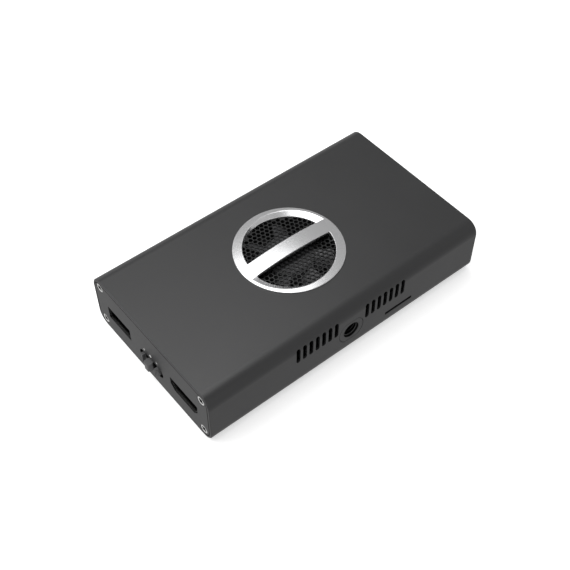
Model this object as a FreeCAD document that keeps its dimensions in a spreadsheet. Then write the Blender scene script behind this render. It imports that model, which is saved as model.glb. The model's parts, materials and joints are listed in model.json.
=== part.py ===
import FreeCAD, Part
import math
import os

import Sketcher

# Network video decoder: an extruded aluminium tube closed by two screwed end plates, a fan under a
# honeycomb grille and a dished bezel, a main board in guide rails, and the sockets at both ends.
# X is the width, Y the length with the menu lever at -Y, Z is up, and the bottom face lies at Z = 0.

App = FreeCAD
Vector = App.Vector
Rotation = App.Rotation

SIZES = {
    # Housing tube and end plates
    "body_length": 117.0,
    "body_width": 66.2,
    "body_height": 23.2,
    "corner_radius": 4.8,
    "plate_thick": 1.2,
    "wall": 1.6,
    "rim_width": 1.0,
    "edge_break": 0.3,
    # Corner blocks of the extrusion, which hold the screws and carry the board
    "block_width": 4.6,
    "block_height": 3.7,
    "rail_reach": 1.5,
    "rail_height": 1.1,
    # Main board
    "board_level": 5.4,
    "board_thick": 1.6,
    "board_gap": 0.3,
    "rail_gap": 0.1,
    # Small running and fitting clearances
    "fit_gap": 0.05,
    "mouth_gap": 0.12,
    "plate_gap": 0.2,
    "flange_gap": 0.12,
    # End plate screws
    "screw_spread": 57.72,
    "screw_rise": 16.4,
    "screw_radius": 1.0,
    "screw_head_radius": 1.95,
    "screw_length": 6.0,
    "screw_hole_gap": 0.1,
    "drive_radius": 0.85,
    "drive_depth": 0.7,
    # Bezel ring with its arched bar
    "ring_outer": 19.45,
    "ring_flat_inner": 18.2,
    "ring_dish": 1.05,
    "ring_throat": 16.0,
    "ring_seat_depth": 0.8,
    "ring_proud": 0.5,
    "ring_drop": 1.15,
    "ring_spigot": 17.35,
    "ring_edge": 0.15,
    "ring_crown": 0.1,
    "bar_width": 6.0,
    "bar_rise": 1.5,
    "bar_thick": 1.15,
    "bar_edge": 0.15,
    # Honeycomb grille
    "grille_radius": 17.3,
    "grille_thick": 0.5,
    "hole_pitch": 1.78,
    "hole_across": 1.42,
    "hole_field": 16.0,
    # Side vents
    "vent_count": 7,
    "vent_pitch": 2.7,
    "vent_start": 6.75,
    "vent_width": 1.65,
    "vent_low": 13.2,
    "vent_high": 20.0,
    # Tripod insert, 1/4 inch thread
    "flange_radius": 5.2,
    "flange_flat": 4.35,
    "flange_thick": 1.0,
    "barrel_radius": 4.0,
    "insert_depth": 7.6,
    "thread_radius": 2.6,
    "thread_depth": 6.6,
    "thread_mouth": 3.2,
    # Card slot and card socket
    "card_slot_place": 21.9,
    "card_slot_length": 12.4,
    "card_slot_height": 1.3,
    "card_socket_length": 14.0,
    "card_socket_width": 12.5,
    "card_socket_wall": 0.25,
    # Fan
    "fan_side": 35.0,
    "fan_height": 7.0,
    "fan_bore": 16.5,
    "fan_corner": 3.0,
    "fan_hole_place": 14.5,
    "fan_base_radius": 9.6,
    "fan_base_thick": 1.0,
    "fan_strut_width": 2.2,
    "fan_tube_radius": 2.8,
    "fan_tube_height": 3.9,
    "bearing_radius": 2.0,
    "shaft_radius": 0.75,
    "hub_radius": 9.2,
    "hub_wall": 0.8,
    "hub_gap": 0.3,
    "hub_height": 5.1,
    "magnet_wall": 0.5,
    "stator_radius": 7.3,
    "blade_count": 7,
    "blade_end": 15.6,
    "blade_curve": 7.4,
    "blade_first_angle": 96.0,
    "blade_last_angle": 152.0,
    "blade_thick": 0.8,
    "fan_screw_radius": 1.0,
    "fan_screw_head": 1.9,
    "fan_screw_head_height": 1.3,
    "fan_screw_length": 8.0,
    # Heat sink, thermal pad and chips
    "sink_side": 34.0,
    "sink_base": 1.5,
    "sink_post": 5.0,
    "sink_fan_gap": 0.3,
    "fin_count": 9,
    "fin_pitch": 3.2,
    "fin_thick": 0.9,
    "pad_thick": 0.5,
    "processor_side": 15.0,
    "processor_height": 1.4,
    "memory_width": 9.0,
    "memory_length": 13.0,
    "memory_height": 1.0,
    "memory_place": 13.0,
    "board_screw_length": 3.0,
    # Smaller parts soldered on the board
    "chip_height": 0.9,
    "chip_gap": 2.5,
    "power_chip": 7.0,
    "network_chip": 8.0,
    "network_chip_shift": 2.0,
    "video_chip": 6.0,
    "data_chip": 5.0,
    "coil_side": 5.0,
    "coil_height": 3.0,
    "coil_pitch": 7.5,
    "coil_row": 12.5,
    "can_radius": 2.5,
    "can_height": 6.0,
    "can_inset": 7.5,
    "can_place": 41.5,
    "can_pitch": 6.5,
    "can_count": 3,
    # Front sockets
    "usb_place": -18.65,
    "usb_level": 10.6,
    "usb_width": 13.3,
    "usb_height": 5.8,
    "usb_depth": 14.0,
    "usb_throat": 9.5,
    "usb_tongue_lift": 0.3,
    "usb_tongue_drop": 0.5,
    "usb_tongue_side": 0.7,
    "usb_outer_contact": 3.5,
    "usb_inner_contact": 1.0,
    "usb_contact_width": 1.0,
    "hdmi_place": 18.75,
    "hdmi_level": 10.2,
    "hdmi_width": 14.9,
    "hdmi_height": 5.6,
    "hdmi_chamfer": 2.1,
    "hdmi_depth": 12.0,
    "hdmi_throat": 8.0,
    "hdmi_tongue_thick": 1.0,
    "hdmi_tongue_side": 1.2,
    "hdmi_contact_pitch": 1.0,
    "hdmi_contact_width": 0.4,
    "hdmi_contact_count": 10,
    "socket_recess": 0.4,
    "shell_wall": 0.3,
    "foot_width": 0.9,
    "tongue_set_back": 0.8,
    "contact_set_back": 1.4,
    "contact_thick": 0.15,
    # Menu lever, its window and its switch
    "window_half": 6.75,
    "window_height": 4.7,
    "window_level": 8.0,
    "lever_half": 5.5,
    "lever_height": 3.7,
    "lever_radius": 11.5,
    "lever_inner": 9.0,
    "pivot_depth": 9.93,
    "nose_out": 2.2,
    "nose_tip_width": 2.3,
    "nose_base_width": 3.6,
    "nose_rounding": 0.5,
    "nose_root": 9.4,
    "scoop_radius": 1.15,
    "scoop_place": 2.3,
    "scoop_root": 10.25,
    "rib_radius": 0.24,
    "rib_count": 5,
    "rib_angle": 3.0,
    "rib_start": 14.5,
    "arm_width": 2.6,
    "arm_height": 1.5,
    "eye_radius": 1.7,
    "pin_radius": 0.6,
    "notch_half": 7.8,
    "notch_depth": 2.6,
    "switch_half": 5.0,
    "switch_wall": 1.3,
    "switch_skin": 0.5,
    "switch_height": 3.6,
    "switch_front": 5.0,
    "switch_back": 4.6,
    "carriage_thick": 0.6,
    "carriage_front": 4.4,
    "carriage_back": 3.0,
    "dome_radius": 1.2,
    "dome_height": 0.35,
    # Network socket at the rear
    "network_place": 13.5,
    "network_width": 16.0,
    "network_height": 13.4,
    "network_depth": 21.5,
    "jack_width": 11.8,
    "jack_height": 8.2,
    "jack_depth": 13.5,
    "jack_floor": 1.4,
    "latch_width": 6.2,
    "latch_height": 1.6,
    "network_pins": 8,
    "network_pin_pitch": 1.02,
    "network_pin_width": 0.4,
    "network_pin_drop": 0.6,
    "network_pin_set_back": 5.0,
    # Power socket at the rear, the square sort
    "power_place": -16.0,
    "power_width": 12.1,
    "power_height": 11.0,
    "power_depth": 16.2,
    "power_mouth_width": 8.5,
    "power_mouth_height": 7.8,
    "power_mouth_chamfer": 1.8,
    "power_throat": 9.6,
    "power_tongue_width": 5.6,
    "power_tongue_height": 3.2,
    "power_tongue_set_back": 1.0,
    "power_contact_place": 1.25,
    "power_contact_width": 1.2,
    "power_contact_set_back": 2.5,
    # Status lights and reset button at the rear
    "light_radius": 1.0,
    "light_spacing": 3.6,
    "light_place": -3.4,
    "light_level": 16.0,
    "light_run": 9.0,
    "led_height": 0.7,
    "led_width": 1.6,
    "led_depth": 0.8,
    "pinhole_radius": 0.7,
    "reset_place": -3.4,
    "reset_level": 9.6,
    "reset_width": 4.6,
    "reset_depth": 3.6,
    "reset_height": 4.4,
    "reset_set_back": 1.4,
    "reset_button_radius": 0.9,
    "reset_button_out": 1.0,
    "reset_button_in": 1.2,
    "reset_travel": 0.3,
}


class Size:
    """A length in mm together with the spreadsheet expression that gives it."""

    def __init__(self, value, text):
        self.value = float(value)
        self.text = text

    def __add__(self, other):
        return joined(self, "+", other, self.value + number(other))

    def __radd__(self, other):
        return joined(other, "+", self, number(other) + self.value)

    def __sub__(self, other):
        return joined(self, "-", other, self.value - number(other))

    def __rsub__(self, other):
        return joined(other, "-", self, number(other) - self.value)

    def __mul__(self, other):
        return joined(self, "*", other, self.value * number(other))

    def __rmul__(self, other):
        return joined(other, "*", self, number(other) * self.value)

    def __truediv__(self, other):
        return joined(self, "/", other, self.value / number(other))

    def __neg__(self):
        return joined(0, "-", self, -self.value)


def number(value):
    return value.value if isinstance(value, Size) else float(value)


def text(value):
    return value.text if isinstance(value, Size) else "(%.9g)" % value


def joined(left, sign, right, value):
    return Size(value, "(%s %s %s)" % (text(left), sign, text(right)))


doc = App.newDocument("video_decoder")
sheet = doc.addObject("Spreadsheet::Sheet", "Sizes")
for row, (alias, value) in enumerate(SIZES.items(), start=1):
    sheet.set("A%d" % row, alias)
    sheet.set("B%d" % row, str(value))
    sheet.setAlias("B%d" % row, alias)
doc.recompute()
s = {alias: Size(value, "Sizes." + alias) for alias, value in SIZES.items()}

nodes = {}


# Places that several pieces share
face_end = s["body_length"] / 2
tube_end = face_end - s["plate_thick"]
side = s["body_width"] / 2
inner_side = side - s["wall"]
inner_top = s["body_height"] - s["wall"]
middle_level = s["body_height"] / 2
board_top = s["board_level"] + s["board_thick"]
ring_top = s["body_height"] + s["ring_proud"]
ring_bottom = s["body_height"] - s["ring_drop"]
ring_seat = s["body_height"] - s["ring_seat_depth"]
grille_bottom = ring_bottom - s["grille_thick"]
fan_top = grille_bottom
fan_bottom = fan_top - s["fan_height"]
hub_bottom = fan_bottom + s["fan_base_thick"] + s["hub_gap"]
hub_inner_top = hub_bottom + s["hub_height"] - s["hub_wall"]
sink_bottom = board_top + s["processor_height"] + s["pad_thick"]
pivot_y = s["pivot_depth"] - face_end
pivot_level = s["window_level"]
lever_bottom = board_top + s["switch_skin"] + s["carriage_thick"] + 2 * s["rail_gap"]
socket_front = s["socket_recess"] - face_end
socket_rear = face_end - s["socket_recess"]

# How far a cutting tool runs past the face that it opens
OVERRUN = 1.0

DIRECTIONS = {
    "+Y": Rotation(Vector(1, 0, 0), -90),
    "-Y": Rotation(Vector(1, 0, 0), 90),
    "+Z": Rotation(),
    "-Z": Rotation(Vector(1, 0, 0), 180),
}


def bind(thing, path, value):
    """Tie one property of an object to a size, or to a plain number where it has none."""
    thing.setExpression(path, text(value))


def node(label, thing):
    """Register a finished sub-part under its own name."""
    doc.recompute()
    thing.Label = label
    nodes[label] = thing
    return thing


# Part primitives and booleans
def box(low, high, name="block"):
    piece = doc.addObject("Part::Box", name)
    for axis, length, a, b in zip("xyz", ("Length", "Width", "Height"), low, high):
        bind(piece, "Placement.Base." + axis, a)
        bind(piece, length, b - a)
    return piece


def centred_box(x, y, z, width, length, height, name="block"):
    """A block standing on level z, centred on x and y."""
    low = (x - width / 2, y - length / 2, z)
    high = (x + width / 2, y + length / 2, z + height)
    return box(low, high, name)


def place(piece, start, direction):
    piece.Placement = App.Placement(Vector(), DIRECTIONS[direction])
    for axis, value in zip("xyz", start):
        bind(piece, "Placement.Base." + axis, value)
    return piece


def rod(start, direction, radius, length, name="rod"):
    piece = doc.addObject("Part::Cylinder", name)
    bind(piece, "Radius", radius)
    bind(piece, "Height", length)
    return place(piece, start, direction)


def taper(start, direction, first_radius, last_radius, length, name="taper"):
    piece = doc.addObject("Part::Cone", name)
    bind(piece, "Radius1", first_radius)
    bind(piece, "Radius2", last_radius)
    bind(piece, "Height", length)
    return place(piece, start, direction)


def hexagon(start, direction, radius, length, name="hexagon"):
    piece = doc.addObject("Part::Prism", name)
    piece.Polygon = 6
    bind(piece, "Circumradius", radius)
    bind(piece, "Height", length)
    return place(piece, start, direction)


def fuse(pieces, name="fused"):
    result = doc.addObject("Part::MultiFuse", name)
    result.Shapes = pieces
    result.Refine = True
    return result


def cut(base, tools, name="cut"):
    result = doc.addObject("Part::Cut", name)
    result.Base = base
    result.Tool = tools[0] if len(tools) == 1 else fuse(tools)
    result.Refine = True
    return result


def common(pieces, name="common"):
    result = doc.addObject("Part::MultiCommon", name)
    result.Shapes = pieces
    result.Refine = True
    return result


def group(pieces, name="group"):
    """Separate solids of one node."""
    result = doc.addObject("Part::Compound", name)
    result.Links = pieces
    return result


# Sketches and features of a body
def new_body(name):
    return doc.addObject("PartDesign::Body", name)


def origin_item(body, role):
    return [item for item in body.Origin.OriginFeatures if item.Role == role][0]


def sketch(body, plane, offset=0):
    """A sketch on one of the body's own origin planes, moved along the plane's normal."""
    result = body.newObject("Sketcher::SketchObject", "profile")
    result.AttachmentSupport = [(origin_item(body, plane), "")]
    result.MapMode = "FlatFace"
    bind(result, "AttachmentOffset.Base.z", offset)
    return result


def hold_point(profile, item, point, x, y):
    """Hold one point of a sketch at x, y from the sketch's origin."""
    for kind, value in (("DistanceX", x), ("DistanceY", y)):
        rule = profile.addConstraint(Sketcher.Constraint(kind, -1, 1, item, point, number(value)))
        bind(profile, "Constraints[%d]" % rule, value)


def hold_across(profile, item, point, x):
    rule = profile.addConstraint(Sketcher.Constraint("DistanceX", -1, 1, item, point, number(x)))
    bind(profile, "Constraints[%d]" % rule, x)


def hold_radius(profile, item, radius):
    rule = profile.addConstraint(Sketcher.Constraint("Radius", item, number(radius)))
    bind(profile, "Constraints[%d]" % rule, radius)


def outline(profile, points):
    """A closed polygon, each corner held by its two coordinates."""
    spots = [Vector(number(x), number(y), 0) for x, y in points]
    items = []
    for first, last in zip(spots, spots[1:] + spots[:1]):
        items.append(profile.addGeometry(Part.LineSegment(first, last), False))
    for item, following in zip(items, items[1:] + items[:1]):
        profile.addConstraint(Sketcher.Constraint("Coincident", item, 2, following, 1))
    for item, (x, y) in zip(items, points):
        hold_point(profile, item, 1, x, y)
    return profile


def rectangle(profile, low, high):
    return outline(profile, [low, (high[0], low[1]), high, (low[0], high[1])])


def ring(profile, x, y, radius):
    circle = Part.Circle(Vector(number(x), number(y), 0), Vector(0, 0, 1), number(radius))
    item = profile.addGeometry(circle, False)
    hold_point(profile, item, 3, x, y)
    hold_radius(profile, item, radius)
    return profile


def half_round(profile, x, y, radius, start):
    """Half a circle, anticlockwise from the angle start in degrees."""
    circle = Part.Circle(Vector(number(x), number(y), 0), Vector(0, 0, 1), number(radius))
    first = math.radians(start)
    item = profile.addGeometry(Part.ArcOfCircle(circle, first, first + math.pi), False)
    hold_point(profile, item, 3, x, y)
    hold_radius(profile, item, radius)
    return item


def band(profile, x, y, radii, starts, stops):
    """A strip between two arcs about one centre, each arc from its start to its stop in X."""
    arcs = []
    for radius, start, stop in zip(radii, starts, stops):
        first, last = [math.acos((number(place) - number(x)) / number(radius))
                       for place in (start, stop)]
        circle = Part.Circle(Vector(number(x), number(y), 0), Vector(0, 0, 1), number(radius))
        arc = Part.ArcOfCircle(circle, first, last)
        item = profile.addGeometry(arc, False)
        hold_point(profile, item, 3, x, y)
        hold_radius(profile, item, radius)
        hold_across(profile, item, 1, start)
        hold_across(profile, item, 2, stop)
        arcs.append((item, arc))
    (outer, outer_arc), (inner, inner_arc) = arcs
    for point, first, last in ((1, outer_arc.StartPoint, inner_arc.StartPoint),
                               (2, outer_arc.EndPoint, inner_arc.EndPoint)):
        line = profile.addGeometry(Part.LineSegment(first, last), False)
        profile.addConstraint(Sketcher.Constraint("Coincident", outer, point, line, 1))
        profile.addConstraint(Sketcher.Constraint("Coincident", inner, point, line, 2))
    return profile


def turned(radius, angle):
    """How far a radius turned by an angle in degrees reaches along, and how far aside."""
    turn = math.radians(number(angle))
    along = Size(number(radius) * math.cos(turn),
                 "(%s * cos(%s * 1 deg))" % (text(radius), text(angle)))
    aside = Size(number(radius) * math.sin(turn),
                 "(%s * sin(%s * 1 deg))" % (text(radius), text(angle)))
    return along, aside


def rounded_rectangle(profile, inset):
    """The case's outline in X and Z, moved in on all sides by the inset."""
    radius = s["corner_radius"] - inset
    far_x = side - s["corner_radius"]
    centres = [(far_x, s["body_height"] - s["corner_radius"]),
               (-far_x, s["body_height"] - s["corner_radius"]),
               (-far_x, s["corner_radius"]),
               (far_x, s["corner_radius"])]
    arcs = []
    for turn, (x, z) in enumerate(centres):
        circle = Part.Circle(Vector(number(x), number(z), 0), Vector(0, 0, 1), number(radius))
        arc = Part.ArcOfCircle(circle, turn * math.pi / 2, (turn + 1) * math.pi / 2)
        item = profile.addGeometry(arc, False)
        hold_point(profile, item, 3, x, z)
        hold_radius(profile, item, radius)
        arcs.append((item, arc))
    for (item, arc), (following, next_arc) in zip(arcs, arcs[1:] + arcs[:1]):
        line = profile.addGeometry(Part.LineSegment(arc.EndPoint, next_arc.StartPoint), False)
        profile.addConstraint(Sketcher.Constraint("Tangent", item, 2, line, 1))
        profile.addConstraint(Sketcher.Constraint("Tangent", line, 2, following, 1))
    return profile


def slot(profile, first, last, radius, upright):
    """A slot with round ends about two centres, upright or lying along the sketch's x."""
    turn = 90 if upright else 0
    end = half_round(profile, last[0], last[1], radius, turn - 90)
    begin = half_round(profile, first[0], first[1], radius, turn + 90)
    spots = []
    for centre in (first, last):
        for sign in (1, -1):
            dx = sign * number(radius) if upright else 0
            dy = 0 if upright else sign * number(radius)
            spots.append(Vector(number(centre[0]) + dx, number(centre[1]) + dy, 0))
    if upright:
        lines = ((spots[0], spots[2]), (spots[3], spots[1]))
    else:
        lines = ((spots[1], spots[3]), (spots[2], spots[0]))
    joins = ((begin, 2, end, 1), (end, 2, begin, 1))
    for (a, b), (item_a, end_a, item_b, end_b) in zip(lines, joins):
        line = profile.addGeometry(Part.LineSegment(a, b), False)
        profile.addConstraint(Sketcher.Constraint("Tangent", item_a, end_a, line, 1))
        profile.addConstraint(Sketcher.Constraint("Tangent", line, 2, item_b, end_b))
    return profile


def pad(body, profile, length, both_ways=False, reverse=False):
    feature = body.newObject("PartDesign::Pad", "pad")
    feature.Profile = profile
    bind(feature, "Length", length)
    if both_ways:
        feature.SideType = "Symmetric"
    feature.Reversed = reverse
    return feature


def pocket(body, profile, length, both_ways=False, reverse=False):
    """Cut a profile and stop if nothing was cut."""
    doc.recompute()
    before = body.Shape.Volume
    feature = body.newObject("PartDesign::Pocket", "pocket")
    feature.Profile = profile
    bind(feature, "Length", length)
    if both_ways:
        feature.SideType = "Symmetric"
    feature.Reversed = reverse
    doc.recompute()
    if body.Shape.Volume > before - 1e-6:
        raise ValueError("a pocket of %s cuts nothing" % body.Name)
    return feature


def revolve(body, profile):
    """Turn a profile drawn on the XZ plane about Z, or on XY about X."""
    feature = body.newObject("PartDesign::Revolution", "revolution")
    feature.Profile = profile
    feature.ReferenceAxis = (profile, ["V_Axis"])
    feature.Angle = 360
    return feature


def dress(body, kind, base, edges, amount):
    """A fillet or chamfer on named edges of a feature."""
    feature = body.newObject("PartDesign::" + kind, kind.lower())
    feature.Base = (base, edges)
    bind(feature, "Radius" if kind == "Fillet" else "Size", amount)
    return feature


def edges_where(shape, test):
    return ["Edge%d" % (i + 1) for i, edge in enumerate(shape.Edges) if test(edge)]


def runs_upright(edge):
    return edge.BoundBox.ZLength > 1e-3


def runs_along_y(edge):
    limits = edge.BoundBox
    return limits.XLength < 1e-6 and limits.ZLength < 1e-6 and limits.YLength > 1e-6


def lies_at_y(level):
    def test(edge):
        limits = edge.BoundBox
        return abs(limits.YMin - level) < 1e-6 and abs(limits.YMax - level) < 1e-6
    return test


def screw_places():
    """The four screw axes of an end plate, as x and z."""
    places = []
    for across in (-1, 1):
        for up in (-1, 1):
            x = across * s["screw_spread"] / 2
            places.append((x, middle_level + up * s["screw_rise"] / 2))
    return places


# Housing tube: an extrusion with corner blocks, board rails, vents, bezel seat and insert seat
def make_housing_tube():
    body = new_body("housing_tube")
    whole = rectangle(sketch(body, "XZ_Plane"), (-side, 0), (side, s["body_height"]))
    block = pad(body, whole, s["body_length"], both_ways=True)
    doc.recompute()
    corners = edges_where(block.Shape, runs_along_y)
    rounded = dress(body, "Fillet", block, corners, s["corner_radius"])
    doc.recompute()
    ends = edges_where(rounded.Shape, lies_at_y(number(face_end)))
    ends += edges_where(rounded.Shape, lies_at_y(-number(face_end)))
    dress(body, "Chamfer", rounded, ends, s["edge_break"])

    block_side = inner_side - s["block_width"]
    rail_side = inner_side - s["rail_reach"]
    rail_low = board_top + s["rail_gap"]
    half = [
        (block_side, s["wall"]),
        (block_side, s["board_level"]),
        (inner_side, s["board_level"]),
        (inner_side, rail_low),
        (rail_side, rail_low),
        (rail_side, rail_low + s["rail_height"]),
        (inner_side, rail_low + s["rail_height"]),
        (inner_side, inner_top - s["block_height"]),
        (block_side, inner_top - s["block_height"]),
        (block_side, inner_top),
    ]
    cavity = half + [(-x, z) for x, z in reversed(half)]
    full_length = s["body_length"] + 2 * OVERRUN
    pocket(body, outline(sketch(body, "XZ_Plane"), cavity), full_length, both_ways=True)
    for hand in (1, -1):
        rebate = rounded_rectangle(sketch(body, "XZ_Plane", hand * face_end), s["rim_width"])
        pocket(body, rebate, s["plate_thick"], reverse=hand < 0)

    channels = sketch(body, "XZ_Plane")
    for x, z in screw_places():
        ring(channels, x, z, s["screw_radius"] + s["fit_gap"])
    pocket(body, channels, full_length, both_ways=True)

    seat = ring(sketch(body, "XY_Plane", s["body_height"]), 0, 0, s["ring_outer"] + s["fit_gap"])
    pocket(body, seat, s["ring_seat_depth"])
    hole = ring(sketch(body, "XY_Plane", s["body_height"]), 0, 0, s["ring_spigot"] + s["fit_gap"])
    pocket(body, hole, s["wall"] + OVERRUN)

    for hand in (1, -1):
        vents = sketch(body, "YZ_Plane", hand * side)
        radius = s["vent_width"] / 2
        for end in (1, -1):
            for i in range(int(number(s["vent_count"]))):
                y = end * (s["vent_start"] + i * s["vent_pitch"])
                low = (y, s["vent_low"] + radius)
                high = (y, s["vent_high"] - radius)
                slot(vents, low, high, radius, upright=True)
        pocket(body, vents, s["wall"] + s["fit_gap"], reverse=hand < 0)

    flange = flange_outline(sketch(body, "YZ_Plane", side), s["flange_gap"])
    pocket(body, flange, s["flange_thick"])
    barrel = sketch(body, "YZ_Plane", side)
    ring(barrel, 0, middle_level, s["barrel_radius"] + s["fit_gap"])
    pocket(body, barrel, s["insert_depth"])

    card = sketch(body, "YZ_Plane", side)
    low_y = s["card_slot_place"] - s["card_slot_length"] / 2
    high_y = s["card_slot_place"] + s["card_slot_length"] / 2
    rectangle(card, (low_y, board_top), (high_y, board_top + s["card_slot_height"]))
    pocket(body, card, s["wall"] + s["rail_reach"] + s["fit_gap"])
    return node("housing_tube", body)


def flange_outline(profile, gap):
    """A circle with two flats, drawn about the thread axis with y to the right and z up."""
    radius = s["flange_radius"] + gap
    flat = s["flange_flat"] + gap
    half_angle = math.asin(number(flat) / number(radius))
    centre = Vector(0, number(middle_level), 0)
    circle = Part.Circle(centre, Vector(0, 0, 1), number(radius))
    right = profile.addGeometry(Part.ArcOfCircle(circle, -half_angle, half_angle), False)
    left = profile.addGeometry(
        Part.ArcOfCircle(circle, math.pi - half_angle, math.pi + half_angle), False)
    reach = number(radius) * math.cos(half_angle)
    corners = [Vector(dx * reach, number(middle_level) + dz * number(flat), 0)
               for dx, dz in ((1, 1), (-1, 1), (-1, -1), (1, -1))]
    top = profile.addGeometry(Part.LineSegment(corners[0], corners[1]), False)
    bottom = profile.addGeometry(Part.LineSegment(corners[2], corners[3]), False)
    for first, a, second, b in ((right, 2, top, 1), (top, 2, left, 1),
                                (left, 2, bottom, 1), (bottom, 2, right, 1)):
        profile.addConstraint(Sketcher.Constraint("Coincident", first, a, second, b))
    for item in (right, left):
        hold_point(profile, item, 3, 0, middle_level)
        hold_radius(profile, item, radius)
    for item, level in ((top, middle_level + flat), (bottom, middle_level - flat)):
        profile.addConstraint(Sketcher.Constraint("Horizontal", item))
        rule = profile.addConstraint(
            Sketcher.Constraint("DistanceY", -1, 1, item, 1, number(level)))
        bind(profile, "Constraints[%d]" % rule, level)
    return profile


# End plates
def plate_blank(name, outer_y, reverse):
    """The plate fits the rebate in the tube's end and is flush with its rim."""
    body = new_body(name)
    profile = rounded_rectangle(sketch(body, "XZ_Plane", -outer_y),
                                s["rim_width"] + s["plate_gap"])
    pad(body, profile, s["plate_thick"], reverse=reverse)
    doc.recompute()
    return body


def countersinks(body, outer_y):
    """Four clearance holes and their countersinks in an end plate."""
    holes = sketch(body, "XZ_Plane", -outer_y)
    radius = s["screw_radius"] + s["screw_hole_gap"]
    for x, z in screw_places():
        ring(holes, x, z, radius)
    drilled = pocket(body, holes, 4 * s["plate_thick"], both_ways=True)
    level = lies_at_y(number(outer_y))
    full = 2 * math.pi * number(radius)
    mouths = edges_where(drilled.Shape, lambda edge: level(edge) and abs(edge.Length - full) < 1e-4)
    sink = s["screw_head_radius"] + s["fit_gap"] - radius
    dress(body, "Chamfer", drilled, mouths, sink)


def through(body, profile):
    pocket(body, profile, 4 * s["plate_thick"], both_ways=True)


def socket_limits(name):
    """The lowest and highest corner of a front socket's opening, as x and z."""
    half = s[name + "_width"] / 2
    rise = s[name + "_height"] / 2
    place_x = s[name + "_place"]
    level = s[name + "_level"]
    return (place_x - half, level - rise), (place_x + half, level + rise)


def trapezoid(profile, low, high, chamfer, at_top=False):
    """A rectangle whose two bottom, or top, corners are cut off."""
    points = [
        (low[0] + chamfer, low[1]),
        (high[0] - chamfer, low[1]),
        (high[0], low[1] + chamfer),
        high,
        (low[0], high[1]),
        (low[0], low[1] + chamfer),
    ]
    if at_top:
        points = [(x, low[1] + high[1] - z) for x, z in reversed(points)]
    return outline(profile, points)


def make_front_plate():
    body = plate_blank("front_plate", -face_end, reverse=True)
    countersinks(body, -face_end)
    low, high = socket_limits("usb")
    through(body, rectangle(sketch(body, "XZ_Plane", face_end), low, high))
    low, high = socket_limits("hdmi")
    hdmi = sketch(body, "XZ_Plane", face_end)
    through(body, trapezoid(hdmi, low, high, s["hdmi_chamfer"]))
    window = sketch(body, "XZ_Plane", face_end)
    radius = s["window_height"] / 2
    reach = s["window_half"] - radius
    level = s["window_level"]
    through(body, slot(window, (-reach, level), (reach, level), radius, upright=False))
    return node("front_plate", body)


def make_rear_plate():
    body = plate_blank("rear_plate", face_end, reverse=False)
    countersinks(body, face_end)
    openings = sketch(body, "XZ_Plane", -face_end)
    gap = s["mouth_gap"]
    for name in ("network", "power"):
        half = s[name + "_width"] / 2 + gap
        place_x = s[name + "_place"]
        rectangle(openings, (place_x - half, board_top - gap),
                  (place_x + half, board_top + s[name + "_height"] + gap))
    ring(openings, s["reset_place"], s["reset_level"], s["pinhole_radius"])
    for x in light_places():
        ring(openings, x, s["light_level"], s["light_radius"] + s["fit_gap"])
    through(body, openings)
    return node("rear_plate", body)


def countersunk_screw(x, z, face_y, direction):
    """A countersunk screw with a six-sided drive, its head flush with the plate."""
    start = (x, face_y, z)
    head_length = s["screw_head_radius"] - s["screw_radius"]
    head = taper(start, direction, s["screw_head_radius"], s["screw_radius"], head_length)
    shank = rod(start, direction, s["screw_radius"], s["screw_length"])
    drive = hexagon(start, direction, s["drive_radius"], s["drive_depth"])
    return cut(fuse([head, shank]), [drive], "screw")


def make_plate_screws():
    front = [countersunk_screw(x, z, -face_end, "+Y") for x, z in screw_places()]
    rear = [countersunk_screw(x, z, face_end, "-Y") for x, z in screw_places()]
    node("front_screws", group(front))
    node("rear_screws", group(rear))


# Bezel ring: a slightly coned face, a dished throat and an arched bar across it
def make_bezel_ring():
    body = new_body("bezel_ring")
    half_chord = s["ring_outer"] + OVERRUN
    drop = s["bar_rise"] + s["ring_crown"]
    rise = drop * half_chord * half_chord / (s["ring_outer"] * s["ring_outer"])
    radius = (half_chord * half_chord + rise * rise) / (2 * rise)
    centre = ring_top + s["bar_rise"] - radius
    profile = band(sketch(body, "YZ_Plane"), 0, centre, (radius, radius - s["bar_thick"]),
                   (half_chord, half_chord), (-half_chord, -half_chord))
    bar = pad(body, profile, s["bar_width"], both_ways=True)
    doc.recompute()
    shoulders = edges_where(bar.Shape, lambda edge: edge.BoundBox.XLength < 1e-6
                            and edge.BoundBox.ZMax > number(ring_top + s["bar_rise"]) - 1e-6)
    dress(body, "Chamfer", bar, shoulders, s["bar_edge"])

    trim = sketch(body, "XY_Plane", ring_bottom)
    ring(trim, 0, 0, s["ring_outer"])
    ring(trim, 0, 0, half_chord + OVERRUN)
    pocket(body, trim, s["body_height"], reverse=True)

    section = sketch(body, "XZ_Plane")
    outline(section, [
        (s["ring_throat"], ring_bottom),
        (s["ring_throat"], ring_top - s["ring_dish"]),
        (s["ring_flat_inner"], ring_top),
        (s["ring_outer"] - s["ring_edge"], ring_top - s["ring_crown"]),
        (s["ring_outer"], ring_top - s["ring_crown"] - s["ring_edge"]),
        (s["ring_outer"], ring_seat),
        (s["ring_spigot"], ring_seat),
        (s["ring_spigot"], ring_bottom),
    ])
    revolve(body, section)
    return node("bezel_ring", body)


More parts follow.
